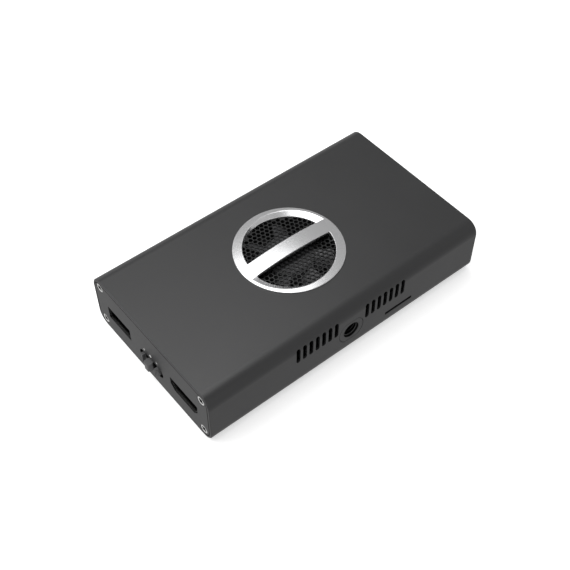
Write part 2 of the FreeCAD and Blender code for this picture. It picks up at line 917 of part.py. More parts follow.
# Honeycomb grille: one punched sheet, the holes in columns along Y
def make_grille_mesh():
    across = number(s["hole_across"])
    pitch = number(s["hole_pitch"])
    column_step = pitch * math.sqrt(3) / 2
    corner = across / math.sqrt(3)
    field = number(s["hole_field"])
    level = number(grille_bottom)
    rim = Part.Circle(Vector(0, 0, level), Vector(0, 0, 1), number(s["grille_radius"]))
    wires = [Part.Wire(rim.toShape())]
    columns = int(field / column_step)
    rows = int(field / pitch) + 1
    for column in range(-columns, columns + 1):
        for row in range(-rows, rows + 1):
            x = column * column_step
            y = (row + (column % 2) / 2) * pitch
            if math.hypot(x, y) > field:
                continue
            points = [Vector(x + corner * math.cos(math.radians(60 * i)),
                             y + corner * math.sin(math.radians(60 * i)), level)
                      for i in range(7)]
            wires.append(Part.makePolygon(points))
    face = Part.Face(wires[0])
    punched = Part.Face([face.OuterWire] + wires[1:], "Part::FaceMakerBullseye")
    piece = doc.addObject("Part::Feature", "grille_mesh")
    piece.Shape = punched.extrude(Vector(0, 0, number(s["grille_thick"])))
    return node("grille_mesh", piece)


# Tripod insert: a flanged bush with a blind thread, drawn about its axis along X
def make_tripod_insert():
    body = new_body("tripod_insert")
    flange = flange_outline(sketch(body, "YZ_Plane", side), 0)
    pad(body, flange, s["flange_thick"], reverse=True)
    barrel = sketch(body, "YZ_Plane", side)
    ring(barrel, 0, middle_level, s["barrel_radius"])
    pad(body, barrel, s["insert_depth"], reverse=True)
    bore = sketch(body, "YZ_Plane", side)
    ring(bore, 0, middle_level, s["thread_radius"])
    drilled = pocket(body, bore, s["thread_depth"])
    full = 2 * math.pi * number(s["thread_radius"])
    mouth = edges_where(drilled.Shape, lambda edge: abs(edge.Length - full) < 1e-4
                        and abs(edge.BoundBox.XMin - number(side)) < 1e-6)
    dress(body, "Chamfer", drilled, mouth, s["thread_mouth"] - s["thread_radius"])
    return node("tripod_insert", body)


# Main board with its front notch and the four holes under the heat sink posts
def make_main_board():
    body = new_body("main_board")
    half_width = inner_side - 2 * s["rail_gap"]
    end = tube_end - s["board_gap"]
    profile = sketch(body, "XY_Plane", s["board_level"])
    notch = end - s["notch_depth"]
    outline(profile, [
        (-half_width, -end),
        (-s["notch_half"], -end),
        (-s["notch_half"], -notch),
        (s["notch_half"], -notch),
        (s["notch_half"], -end),
        (half_width, -end),
        (half_width, end),
        (-half_width, end),
    ])
    pad(body, profile, s["board_thick"])
    holes = sketch(body, "XY_Plane", s["board_level"])
    for x, y in fan_corners():
        ring(holes, x, y, s["fan_screw_radius"] + s["screw_hole_gap"])
    pocket(body, holes, 2 * (s["board_thick"] + OVERRUN), both_ways=True)
    return node("main_board", body)


def fan_corners():
    spread = s["fan_hole_place"]
    return [(a * spread, b * spread) for a in (-1, 1) for b in (-1, 1)]


# Fan frame: square frame, round duct, motor base on struts and the bearing tube
def make_fan_frame():
    body = new_body("fan_frame")
    half = s["fan_side"] / 2
    blank = pad(body, rectangle(sketch(body, "XY_Plane", fan_bottom), (-half, -half), (half, half)),
                s["fan_height"])
    doc.recompute()
    corners = edges_where(blank.Shape, runs_upright)
    dress(body, "Fillet", blank, corners, s["fan_corner"])
    duct = ring(sketch(body, "XY_Plane", fan_top), 0, 0, s["fan_bore"])
    pocket(body, duct, s["fan_height"])
    base = ring(sketch(body, "XY_Plane", fan_bottom), 0, 0, s["fan_base_radius"])
    ring(base, 0, 0, s["shaft_radius"] + s["fit_gap"])
    pad(body, base, s["fan_base_thick"])
    reach = s["fan_bore"] + s["fan_base_thick"] / 2
    inner = s["fan_base_radius"] - s["fan_base_thick"]
    struts = sketch(body, "XY_Plane", fan_bottom)
    width = s["fan_strut_width"] / 2
    for low, high in (((inner, -width), (reach, width)), ((-reach, -width), (-inner, width)),
                      ((-width, inner), (width, reach)), ((-width, -reach), (width, -inner))):
        rectangle(struts, low, high)
    pad(body, struts, s["fan_base_thick"])
    tube = ring(sketch(body, "XY_Plane", fan_bottom + s["fan_base_thick"]), 0, 0,
                s["fan_tube_radius"])
    ring(tube, 0, 0, s["bearing_radius"] + s["fit_gap"])
    pad(body, tube, s["fan_tube_height"])
    holes = sketch(body, "XY_Plane", fan_bottom)
    seats = sketch(body, "XY_Plane", fan_top)
    for x, y in fan_corners():
        ring(holes, x, y, s["fan_screw_radius"] + s["screw_hole_gap"])
        ring(seats, x, y, s["fan_screw_head"] + s["screw_hole_gap"])
    pocket(body, holes, 2 * (s["fan_height"] + OVERRUN), both_ways=True)
    pocket(body, seats, s["fan_screw_head_height"] + s["screw_hole_gap"])
    return node("fan_frame", body)


# Fan rotor: a cup-shaped hub and curved blades in a polar pattern
def make_fan_rotor():
    body = new_body("fan_rotor")
    inner = s["hub_radius"] - s["hub_wall"]
    top = hub_bottom + s["hub_height"]
    section = outline(sketch(body, "XZ_Plane"), [
        (0, hub_inner_top),
        (inner, hub_inner_top),
        (inner, hub_bottom),
        (s["hub_radius"], hub_bottom),
        (s["hub_radius"], top - s["hub_wall"]),
        (s["hub_radius"] - s["hub_wall"], top),
        (0, top),
    ])
    revolve(body, section)
    radii = (s["blade_curve"], s["blade_curve"] - s["blade_thick"])
    first_along = turned(s["blade_curve"], s["blade_first_angle"])[0]
    last_along = turned(s["blade_curve"], s["blade_last_angle"])[0]
    lowest = turned(radii[1], s["blade_last_angle"])[1]
    x = -(first_along + last_along) / 2
    starts = [x + turned(radius, s["blade_first_angle"])[0] for radius in radii]
    stops = [x + turned(radius, s["blade_last_angle"])[0] for radius in radii]
    root = s["hub_radius"] - s["hub_wall"] + s["fit_gap"]
    blade = band(sketch(body, "YZ_Plane", root), x, hub_bottom + s["fit_gap"] - lowest,
                 radii, starts, stops)
    first_blade = pad(body, blade, s["blade_end"] - root)
    doc.recompute()
    pattern = body.newObject("PartDesign::PolarPattern", "blades")
    pattern.Originals = [first_blade]
    pattern.Axis = (origin_item(body, "Z_Axis"), [""])
    pattern.Angle = 360
    pattern.setExpression("Occurrences", "Sizes.blade_count")
    body.Tip = pattern
    return node("fan_rotor", body)


def tube_piece(label, inner, outer, low, high):
    """A plain round sleeve about the fan axis."""
    body = new_body(label)
    profile = ring(sketch(body, "XY_Plane", low), 0, 0, outer)
    ring(profile, 0, 0, inner)
    pad(body, profile, high - low)
    return node(label, body)


def make_fan_inner_pieces():
    floor = fan_bottom + s["fan_base_thick"]
    tube_top = floor + s["fan_tube_height"]
    tube_piece("fan_bearing", s["shaft_radius"] + s["fit_gap"], s["bearing_radius"],
               floor, tube_top)
    magnet_outer = s["hub_radius"] - s["hub_wall"] - s["fit_gap"]
    tube_piece("fan_magnet", magnet_outer - s["magnet_wall"], magnet_outer,
               hub_bottom + s["hub_gap"], hub_inner_top)
    tube_piece("fan_stator", s["fan_tube_radius"] + s["fit_gap"], s["stator_radius"],
               floor, tube_top - s["hub_gap"])
    low = floor - s["fan_base_thick"] / 2
    node("fan_shaft", rod((0, 0, low), "+Z", s["shaft_radius"], hub_inner_top - low, "fan_shaft"))


def hexagon_screw(start, direction, length):
    """A screw with a hexagon head, pointing along direction, its head behind the start."""
    back = {"+Z": 1, "-Z": -1}[direction]
    head_start = (start[0], start[1], start[2] - back * s["fan_screw_head_height"])
    head = hexagon(head_start, direction, s["fan_screw_head"], s["fan_screw_head_height"])
    shank = rod(start, direction, s["fan_screw_radius"], length)
    return fuse([head, shank], "screw")


def make_inner_screws():
    seat = fan_top - s["fan_screw_head_height"] - s["screw_hole_gap"]
    node("fan_screws", group([hexagon_screw((x, y, seat), "-Z", s["fan_screw_length"])
                              for x, y in fan_corners()]))
    node("board_screws", group([hexagon_screw((x, y, s["board_level"]), "+Z",
                                              s["board_thick"] + s["board_screw_length"])
                                for x, y in fan_corners()]))


# Heat sink: base plate, straight fins and four posts that carry the fan and meet the board
def make_heat_sink():
    body = new_body("heat_sink")
    half = s["sink_side"] / 2
    base = rectangle(sketch(body, "XY_Plane", sink_bottom), (-half, -half), (half, half))
    pad(body, base, s["sink_base"])
    fins = sketch(body, "XY_Plane", sink_bottom + s["sink_base"])
    count = int(number(s["fin_count"]))
    for i in range(count):
        x = (i - (count - 1) / 2) * s["fin_pitch"]
        fin_half = s["fin_thick"] / 2
        rectangle(fins, (x - fin_half, -half), (x + fin_half, half))
    pad(body, fins, fan_bottom - s["sink_fan_gap"] - sink_bottom - s["sink_base"])
    posts = sketch(body, "XY_Plane", board_top)
    post = s["sink_post"] / 2
    for x, y in fan_corners():
        rectangle(posts, (x - post, y - post), (x + post, y + post))
    pad(body, posts, fan_bottom - board_top)
    bores = sketch(body, "XY_Plane", board_top)
    for x, y in fan_corners():
        ring(bores, x, y, s["fan_screw_radius"] + s["fit_gap"])
    pocket(body, bores, 2 * (fan_bottom - board_top + OVERRUN), both_ways=True)
    return node("heat_sink", body)


def make_chips():
    """Processor, thermal pad, memory and the other parts soldered on the board."""
    side_length = s["processor_side"]
    node("video_processor", centred_box(0, 0, board_top, side_length, side_length,
                                        s["processor_height"], "video_processor"))
    node("thermal_pad", centred_box(0, 0, board_top + s["processor_height"], side_length,
                                    side_length, s["pad_thick"], "thermal_pad"))
    memories = [centred_box(sign * s["memory_place"], 0, board_top, s["memory_width"],
                            s["memory_length"], s["memory_height"]) for sign in (-1, 1)]
    node("memory_chips", group(memories))
    behind = {
        "power": (s["power_place"], tube_end - s["network_depth"], -1),
        "network": (s["network_place"] - s["network_chip_shift"],
                    tube_end - s["network_depth"], -1),
        "video": (s["hdmi_place"], s["hdmi_depth"] - face_end, 1),
        "data": (s["usb_place"], s["usb_depth"] - face_end, 1),
    }
    small = []
    for name, (x, socket_back, inward) in behind.items():
        width = s[name + "_chip"]
        y = socket_back + inward * (s["chip_gap"] + width / 2)
        small.append(centred_box(x, y, board_top, width, width, s["chip_height"]))
    node("support_chips", group(small))
    coil_y = tube_end - s["network_depth"] - s["coil_row"]
    coils = [centred_box(s["power_place"] + i * s["coil_pitch"], coil_y, board_top,
                         s["coil_side"], s["coil_side"], s["coil_height"])
             for i in range(-1, 2)]
    node("power_coils", group(coils))
    cans = [rod((s["can_inset"] - side, s["can_place"] - i * s["can_pitch"], board_top), "+Z",
                s["can_radius"], s["can_height"])
            for i in range(int(number(s["can_count"])))]
    node("capacitors", group(cans))


def shelled_socket(label, low, high, chamfer, depth, throat):
    """A sheet metal socket shell open to the front, with a back wall and two feet on the board."""
    body = new_body(label)
    gap = s["mouth_gap"]
    low = (low[0] + gap, low[1] + gap)
    high = (high[0] - gap, high[1] - gap)
    profile = sketch(body, "XZ_Plane", -socket_front)
    wall = s["shell_wall"]
    inner_low = (low[0] + wall, low[1] + wall)
    inner_high = (high[0] - wall, high[1] - wall)
    if chamfer is None:
        rectangle(profile, low, high)
        rectangle(profile, inner_low, inner_high)
    else:
        trapezoid(profile, low, high, chamfer)
        trapezoid(profile, inner_low, inner_high, chamfer - (2 - math.sqrt(2)) * wall)
    pad(body, profile, depth, reverse=True)
    back = sketch(body, "XZ_Plane", -(socket_front + depth))
    if chamfer is None:
        rectangle(back, low, high)
    else:
        trapezoid(back, low, high, chamfer)
    pad(body, back, wall)
    feet = sketch(body, "XY_Plane", board_top)
    foot_y = socket_front + throat
    foot_end = socket_front + depth
    inset = chamfer + s["foot_width"] if chamfer is not None else 0
    rectangle(feet, (low[0] + inset, foot_y), (low[0] + inset + s["foot_width"], foot_end))
    rectangle(feet, (high[0] - inset - s["foot_width"], foot_y), (high[0] - inset, foot_end))
    pad(body, feet, low[1] + wall / 2 - board_top)
    return node(label, body), inner_low, inner_high


def make_usb_socket():
    low, high = socket_limits("usb")
    _, low, high = shelled_socket("usb_shell", low, high, None, s["usb_depth"], s["usb_throat"])
    back_y = socket_front + s["usb_depth"] - s["shell_wall"]
    throat_y = socket_front + s["usb_throat"]
    tongue_low = s["usb_level"] + s["usb_tongue_lift"]
    block = box((low[0], throat_y, low[1]), (high[0], back_y, high[1]))
    tongue = box((low[0] + s["usb_tongue_side"], socket_front + s["tongue_set_back"], tongue_low),
                 (high[0] - s["usb_tongue_side"], throat_y + OVERRUN,
                  high[1] - s["usb_tongue_drop"]))
    node("usb_insulator", fuse([block, tongue]))
    contacts = []
    half = s["usb_contact_width"] / 2
    for hand in (-1, 1):
        for place in (s["usb_outer_contact"], s["usb_inner_contact"]):
            x = s["usb_place"] + hand * place
            contacts.append(box((x - half, socket_front + s["contact_set_back"],
                                 tongue_low - s["contact_thick"]),
                                (x + half, throat_y, tongue_low)))
    node("usb_contacts", group(contacts))


def make_hdmi_socket():
    low, high = socket_limits("hdmi")
    _, low, high = shelled_socket("hdmi_shell", low, high, s["hdmi_chamfer"], s["hdmi_depth"],
                                  s["hdmi_throat"])
    throat_y = socket_front + s["hdmi_throat"]
    depth = s["hdmi_depth"] - s["hdmi_throat"] - s["shell_wall"]
    body = new_body("hdmi_insulator")
    block = sketch(body, "XZ_Plane", -throat_y)
    trapezoid(block, low, high, s["hdmi_chamfer"])
    pad(body, block, depth, reverse=True)
    tongue_low = s["hdmi_level"] - s["hdmi_tongue_thick"] / 10
    tongue_high = tongue_low + s["hdmi_tongue_thick"]
    tongue = sketch(body, "XZ_Plane", -throat_y)
    rectangle(tongue, (low[0] + s["hdmi_tongue_side"], tongue_low),
              (high[0] - s["hdmi_tongue_side"], tongue_high))
    pad(body, tongue, s["hdmi_throat"] - s["tongue_set_back"])
    node("hdmi_insulator", body)
    contacts = []
    half = s["hdmi_contact_width"] / 2
    top_count = int(number(s["hdmi_contact_count"]))
    for count, bottom in ((top_count, tongue_high),
                          (top_count - 1, tongue_low - s["contact_thick"])):
        for i in range(count):
            x = s["hdmi_place"] + (i - (count - 1) / 2) * s["hdmi_contact_pitch"]
            contacts.append(box((x - half, socket_front + s["contact_set_back"], bottom),
                                (x + half, throat_y, bottom + s["contact_thick"])))
    node("hdmi_contacts", group(contacts))


# Menu switch: a case on the board, a carriage that slides in when pressed, and the ribbed lever
def make_menu_switch():
    skin = s["switch_skin"]
    low_y = pivot_y - s["switch_front"]
    high_y = pivot_y + s["switch_back"]
    half = s["switch_half"]
    top = board_top + s["switch_height"]
    inner = half - s["switch_wall"]
    case = box((-half, low_y, board_top), (half, high_y, top))
    hollow = box((-inner, low_y - OVERRUN, board_top + skin), (inner, high_y - skin, top - skin))
    node("menu_switch_case", cut(case, [hollow]))

    gap = s["rail_gap"]
    carriage_low = board_top + skin + gap
    carriage_top = carriage_low + s["carriage_thick"]
    sled = box((gap - inner, pivot_y - s["carriage_front"], carriage_low),
               (inner - gap, pivot_y + s["carriage_back"], carriage_top))
    back_wall = box((gap - inner, pivot_y + s["carriage_back"] - skin, carriage_low),
                    (inner - gap, pivot_y + s["carriage_back"], top - skin - gap))
    bore = rod((0, pivot_y, carriage_low - OVERRUN), "+Z", s["pin_radius"] + s["fit_gap"],
               s["carriage_thick"] + 2 * OVERRUN)
    node("menu_carriage", cut(fuse([sled, back_wall]), [bore]))
    pin_length = top - skin - gap - carriage_low
    node("menu_pin", rod((0, pivot_y, carriage_low), "+Z", s["pin_radius"], pin_length, "menu_pin"))
    node("menu_dome", taper((0, high_y - skin, (carriage_low + top - skin) / 2), "-Y",
                            s["dome_radius"], s["dome_radius"] / 2, s["dome_height"],
                            "menu_dome"))


def make_menu_lever():
    """A slot-shaped cap turned about the pivot pin, with a nose between two scoops, and ribs."""
    height = s["lever_height"]
    low = pivot_level - height / 2
    prism = new_body("lever_prism")
    profile = sketch(prism, "XZ_Plane", -pivot_y)
    reach = s["lever_half"] - height / 2
    level = s["window_level"]
    slot(profile, (-reach, level), (reach, level), height / 2, upright=False)
    pad(prism, profile, s["pivot_depth"] + s["nose_out"])
    start = (0, pivot_y, low)
    disc = rod(start, "+Z", s["lever_radius"], height)
    ribs = []
    for i in range(int(number(s["rib_count"]))):
        for hand in (-1, 1):
            x, y = around_pivot(hand * (s["rib_start"] + i * s["rib_angle"]), s["lever_radius"])
            ribs.append(rod((x, y, low), "+Z", s["rib_radius"], height, "rib"))
    core = rod(start, "+Z", s["lever_inner"], height)
    scoops = []
    scoop_mouth = pivot_y - s["lever_radius"] - OVERRUN
    scoop_root = pivot_y - s["scoop_root"]
    for hand in (-1, 1):
        x = hand * s["scoop_place"]
        scoops.append(rod((x, scoop_root, low), "+Z", s["scoop_radius"], height, "scoop"))
        scoops.append(box((x - s["scoop_radius"], scoop_mouth, low),
                          (x + s["scoop_radius"], scoop_root, low + height), "scoop"))
    cap = cut(common([prism, fuse([disc] + ribs)]), [core] + scoops)

    nose = new_body("lever_nose")
    base_half = s["nose_base_width"] / 2
    tip_half = s["nose_tip_width"] / 2
    base_y = pivot_y - s["nose_root"]
    tip_y = -(face_end + s["nose_out"])
    plan = outline(sketch(nose, "XY_Plane", low), [
        (-base_half, base_y), (-tip_half, tip_y), (tip_half, tip_y), (base_half, base_y)])
    wedge = pad(nose, plan, height)
    doc.recompute()
    tips = edges_where(wedge.Shape, lambda edge: runs_upright(edge)
                       and abs(edge.BoundBox.YMin - number(tip_y)) < 1e-6)
    dress(nose, "Fillet", wedge, tips, s["nose_rounding"])

    eye = rod((0, pivot_y, lever_bottom), "+Z", s["eye_radius"], s["arm_height"])
    arm_reach = (s["lever_inner"] + s["lever_radius"]) / 2
    arm = box((-s["arm_width"] / 2, pivot_y - arm_reach, lever_bottom),
              (s["arm_width"] / 2, pivot_y, lever_bottom + s["arm_height"]))
    bore = rod((0, pivot_y, lever_bottom - OVERRUN), "+Z", s["pin_radius"] + s["fit_gap"],
               s["arm_height"] + 2 * OVERRUN)
    node("menu_lever", cut(fuse([cap, nose, eye, arm]), [bore]))


def around_pivot(angle, radius):
    """The point at an angle in degrees from the nose, at a radius from the lever's pivot."""
    along, aside = turned(radius, angle)
    return aside, pivot_y - along


def make_card_socket():
    """The flat card socket, its mouth behind the slot in the side."""
    end_x = inner_side - s["rail_reach"] - s["fit_gap"]
    start_x = end_x - s["card_socket_width"]
    half = s["card_socket_length"] / 2
    wall = s["card_socket_wall"]
    centre = s["card_slot_place"]
    top = board_top + s["card_slot_height"] + wall
    shell = box((start_x, centre - half, board_top), (end_x, centre + half, top))
    room = box((start_x + wall, centre - half + wall, board_top + wall),
               (end_x + OVERRUN, centre + half - wall, top - wall))
    node("card_socket", cut(shell, [room]))


def make_network_socket():
    half = s["network_width"] / 2
    centre = s["network_place"]
    top = board_top + s["network_height"]
    wall = s["shell_wall"]
    front = socket_rear
    back = front - s["network_depth"]
    shell = box((centre - half, back, board_top), (centre + half, front, top))
    room = box((centre - half + wall, back + wall, board_top + wall),
               (centre + half - wall, front + OVERRUN, top - wall))
    node("network_shell", cut(shell, [room]))
    gap = s["fit_gap"]
    insert = box((centre - half + wall + gap, back + wall, board_top + wall),
                 (centre + half - wall - gap, front - wall, top - wall - gap))
    jack_half = s["jack_width"] / 2
    floor = board_top + wall + s["jack_floor"] + s["latch_height"]
    jack = box((centre - jack_half, front - s["jack_depth"], floor),
               (centre + jack_half, front + OVERRUN, floor + s["jack_height"]))
    latch = box((centre - s["latch_width"] / 2, front - s["jack_depth"], floor - s["latch_height"]),
                (centre + s["latch_width"] / 2, front + OVERRUN, floor + OVERRUN))
    node("network_insulator", cut(insert, [jack, latch]))
    contacts = []
    count = int(number(s["network_pins"]))
    pin_half = s["network_pin_width"] / 2
    pin_top = floor + s["jack_height"] - s["network_pin_drop"]
    for i in range(count):
        x = centre + (i - (count - 1) / 2) * s["network_pin_pitch"]
        contacts.append(box((x - pin_half, front - s["jack_depth"], pin_top - 2 * pin_half),
                            (x + pin_half, front - s["network_pin_set_back"], pin_top)))
    node("network_contacts", group(contacts))


def make_power_socket():
    half = s["power_width"] / 2
    centre = s["power_place"]
    height = s["power_height"]
    wall = s["shell_wall"]
    front = socket_rear
    back = front - s["power_depth"]
    shell = box((centre - half, back, board_top), (centre + half, front, board_top + height))
    room = box((centre - half + wall, back + wall, board_top + wall),
               (centre + half - wall, front + OVERRUN, board_top + height - wall))
    node("power_shell", cut(shell, [room]))
    gap = s["fit_gap"]
    body = new_body("power_insulator")
    block = sketch(body, "XZ_Plane", wall - front)
    rectangle(block, (centre - half + wall + gap, board_top + wall),
              (centre + half - wall - gap, board_top + height - wall - gap))
    pad(body, block, s["power_depth"] - 2 * wall)
    mouth_half = s["power_mouth_width"] / 2
    middle = board_top + height / 2
    mouth_low = (centre - mouth_half, middle - s["power_mouth_height"] / 2)
    mouth_high = (centre + mouth_half, middle + s["power_mouth_height"] / 2)
    mouth = sketch(body, "XZ_Plane", wall - front)
    trapezoid(mouth, mouth_low, mouth_high, s["power_mouth_chamfer"], at_top=True)
    pocket(body, mouth, s["power_throat"], reverse=True)
    tongue_half = s["power_tongue_width"] / 2
    tongue_rise = s["power_tongue_height"] / 2
    tongue = sketch(body, "XZ_Plane", s["power_throat"] + wall - front)
    rectangle(tongue, (centre - tongue_half, middle - tongue_rise),
              (centre + tongue_half, middle + tongue_rise))
    pad(body, tongue, s["power_throat"] - s["power_tongue_set_back"], reverse=True)
    node("power_insulator", body)
    contacts = []
    contact_half = s["power_contact_width"] / 2
    for level, below in ((middle + tongue_rise, 0), (middle - tongue_rise, 1)):
        for sign in (-1, 1):
            x = centre + sign * s["power_contact_place"]
            low = level - below * s["contact_thick"]
            contacts.append(box((x - contact_half, front - s["power_throat"], low),
                                (x + contact_half, front - s["power_contact_set_back"],
                                 low + s["contact_thick"])))
    node("power_contacts", group(contacts))


def light_places():
    return [s["light_place"] + sign * s["light_spacing"] / 2 for sign in (-1, 1)]


def make_status_lights():
    """Two clear light guides, each bent from its light on the board to the rear plate."""
    guides = []
    lights = []
    radius = s["light_radius"]
    low = board_top + s["led_height"]
    corner_y = face_end - s["light_run"]
    for x in light_places():
        run = rod((x, corner_y, s["light_level"]), "+Y", radius, s["light_run"])
        post = box((x - radius, corner_y - radius, low), (x + radius, corner_y + radius / 2,
                                                       s["light_level"] + radius))
        guides.append(fuse([run, post]))
        lights.append(centred_box(x, corner_y - radius / 4, board_top, s["led_width"],
                                  s["led_depth"], s["led_height"]))
    node("light_guides", group(guides))
    node("status_leds", group(lights))


def make_reset_switch():
    place_x = s["reset_place"]
    half = s["reset_width"] / 2
    front = tube_end - s["reset_set_back"]
    level = s["reset_level"]
    case = box((place_x - half, front - s["reset_depth"], board_top),
               (place_x + half, front, board_top + s["reset_height"]))
    depth = s["reset_button_in"] + s["reset_travel"] + s["fit_gap"]
    bore = rod((place_x, front - depth, level), "+Y", s["reset_button_radius"] + s["fit_gap"],
               depth + OVERRUN)
    node("reset_switch_case", cut(case, [bore]))
    node("reset_button", rod((place_x, front - s["reset_button_in"], level), "+Y",
                             s["reset_button_radius"],
                             s["reset_button_in"] + s["reset_button_out"], "reset_button"))


make_housing_tube()
make_front_plate()
make_rear_plate()
make_plate_screws()
make_bezel_ring()
make_grille_mesh()
make_tripod_insert()
make_main_board()
make_fan_frame()
make_fan_rotor()
make_fan_inner_pieces()
make_heat_sink()
make_inner_screws()
make_chips()
make_usb_socket()
make_hdmi_socket()
make_menu_switch()
make_menu_lever()
make_card_socket()
make_network_socket()
make_power_socket()
make_status_lights()
make_reset_switch()

doc.recompute()
for thing in doc.Objects:
    if "Invalid" in thing.State or "Error" in thing.State:
        raise ValueError("%s did not recompute: %s" % (thing.Label, thing.State))
for label, thing in nodes.items():
    shape = thing.Shape
    if thing.Label != label:
        raise ValueError("the name %s is already taken" % label)
    if shape.isNull() or not shape.isValid() or not shape.Solids:
        raise ValueError("%s has no valid shape" % label)

os.makedirs("parts", exist_ok=True)
for label, thing in nodes.items():
    thing.Shape.exportStep(os.path.join("parts", label + ".step"))
    limits = thing.Shape.BoundBox
    print("%-20s %2d solids  %9.2f mm3  x %6.2f %6.2f  y %6.2f %6.2f  z %5.2f %5.2f" % (
        label, len(thing.Shape.Solids), thing.Shape.Volume, limits.XMin, limits.XMax,
        limits.YMin, limits.YMax, limits.ZMin, limits.ZMax))
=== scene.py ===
# %% [markdown]
# # A network video decoder in a flat aluminium case
# The real object is a small box about 117 mm long: an extruded aluminium tube, bead blasted and
# anodised dark grey, with a screwed plate in each end. A fan breathes through a honeycomb grille
# in the top, inside a bright turned bezel with an arched bar. The solid pieces come from the
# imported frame, so this lesson dresses them: it gives each one the finish of its real material
# and builds the few pieces that need a finer form than the solids have.

# %% Load the frame
import json
import math

import bmesh
import bpy
import numpy as np
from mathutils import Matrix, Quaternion, Vector


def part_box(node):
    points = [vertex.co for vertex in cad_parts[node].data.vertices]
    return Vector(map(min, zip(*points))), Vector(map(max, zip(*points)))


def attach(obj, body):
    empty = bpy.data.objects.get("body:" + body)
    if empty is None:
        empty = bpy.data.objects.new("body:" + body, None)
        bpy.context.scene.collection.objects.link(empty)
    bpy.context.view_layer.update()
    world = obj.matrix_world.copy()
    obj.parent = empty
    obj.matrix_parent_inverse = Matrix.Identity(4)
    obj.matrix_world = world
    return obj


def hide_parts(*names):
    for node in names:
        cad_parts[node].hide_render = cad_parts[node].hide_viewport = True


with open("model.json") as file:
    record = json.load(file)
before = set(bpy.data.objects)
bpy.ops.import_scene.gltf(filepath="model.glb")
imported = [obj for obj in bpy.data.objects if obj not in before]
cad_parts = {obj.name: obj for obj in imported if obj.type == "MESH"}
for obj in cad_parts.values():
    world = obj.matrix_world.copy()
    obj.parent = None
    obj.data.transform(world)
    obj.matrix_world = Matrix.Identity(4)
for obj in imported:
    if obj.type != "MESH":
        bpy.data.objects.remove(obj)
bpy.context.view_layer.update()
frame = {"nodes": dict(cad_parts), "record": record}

MM = 0.001
nodes = frame["nodes"]
print("nodes in the frame:", len(nodes))

# %% [markdown]
# ## The camera
# The picture was taken from above the front right corner. The camera is set by what a
# photographer would note: the point aimed at, the direction and height it looks from, the
# distance and the lens. A lens of 63 mm on a 36 mm sensor gives the mild perspective seen.

# %% Place the camera
IMAGE_SIZE = 570
AIM = Vector((4.733, -5.604, 12.755)) * MM
AZIMUTH = math.radians(51.003)
ELEVATION = math.radians(50.495)
DISTANCE = 343.81 * MM
LENS = 62.826               # mm, on a sensor this wide:
SENSOR = 36.0

back = Vector((math.sin(AZIMUTH) * math.cos(ELEVATION),
               -math.cos(AZIMUTH) * math.cos(ELEVATION),
               math.sin(ELEVATION)))
camera_data = bpy.data.cameras.new("camera")
camera_data.lens = LENS
camera_data.sensor_width = SENSOR
camera_data.clip_start = 5 * MM
camera_data.clip_end = 20.0
camera = bpy.data.objects.new("camera", camera_data)
camera.location = AIM + back * DISTANCE
camera.rotation_euler = (-back).to_track_quat("-Z", "Y").to_euler()
bpy.context.scene.collection.objects.link(camera)
bpy.context.scene.camera = camera
print("one millimetre at the aim is", round(LENS / SENSOR * IMAGE_SIZE * MM / DISTANCE, 2),
      "pixels")

# %% [markdown]
# ## Floor, backdrop and light
# The object stands on plain white, as in a catalogue. The floor is a real white surface, so it
# bounces light onto the sides and keeps a soft shadow. It could be lit until it looks white, but
# the object would get that light too, so instead the camera, glossy and transmission rays see a
# little lift on it. The rest of the light is plain: a pale sky all round and two soft lamps.

# %% One function to add a shader node
def add(tree, kind, settings=None, links=None):
    """Adds a node; settings fill its properties or inputs, links say what feeds an input."""
    node = tree.nodes.new(kind)
    for key, value in (settings or {}).items():
        if isinstance(key, int) or key in node.inputs:
            node.inputs[key].default_value = value
        else:
            setattr(node, key, value)
    for key, source in (links or {}).items():
        tree.links.new(source, node.inputs[key])
    return node


def linear(colour):
    """An sRGB hex colour as linear red, green, blue and a full alpha."""
    parts = [int(colour[i:i + 2], 16) / 255 for i in (1, 3, 5)]
    bent = [c / 12.92 if c <= 0.04045 else ((c + 0.055) / 1.055) ** 2.4 for c in parts]
    return (*bent, 1.0)


# %% Floor and sky
FLOOR_SIDE = 6000           # mm
FLOOR_DROP = 0.05           # the floor lies this far under the bottom face, mm
FLOOR_COLOUR = "#f4f4f4"
FLOOR_LIFT = 0.48           # light added where the floor is seen, 1 is white
SKY_STRENGTH = 0.56         # light of the sky on the object, 1 is white


def seen_rays(tree):
    """One where a camera, glossy or transmission ray arrives, zero for the light itself."""
    path = add(tree, "ShaderNodeLightPath")
    first = add(tree, "ShaderNodeMath", {"operation": "MAXIMUM"},
                {0: path.outputs["Is Camera Ray"], 1: path.outputs["Is Glossy Ray"]})
    both = add(tree, "ShaderNodeMath", {"operation": "MAXIMUM"},
               {0: first.outputs[0], 1: path.outputs["Is Transmission Ray"]})
    return both.outputs[0]


def flat_stage(name, width, height, material):
    """A rectangle of a width and height in mm round the origin, marked as a stage piece."""
    corners = np.array([[-1, -1, 0], [1, -1, 0], [1, 1, 0], [-1, 1, 0]]) / 2
    mesh = bpy.data.meshes.new(name)
    mesh.from_pydata((corners * (width, height, 1) * MM).tolist(), [], [(0, 1, 2, 3)])
    mesh.materials.append(material)
    piece = bpy.data.objects.new(name, mesh)
    bpy.context.scene.collection.objects.link(piece)
    return piece


# %% Lay the floor
floor_material = bpy.data.materials.new("white_paper_floor")
floor_material.use_nodes = True
tree = floor_material.node_tree
shader = tree.nodes["Principled BSDF"]
shader.inputs["Base Color"].default_value = linear(FLOOR_COLOUR)
shader.inputs["Roughness"].default_value = 0.9
shader.inputs["Specular IOR Level"].default_value = 0.1
shader.inputs["Emission Color"].default_value = (1, 1, 1, 1)
lift = add(tree, "ShaderNodeMath", {"operation": "MULTIPLY", 1: FLOOR_LIFT},
           {0: seen_rays(tree)})
tree.links.new(lift.outputs[0], shader.inputs["Emission Strength"])
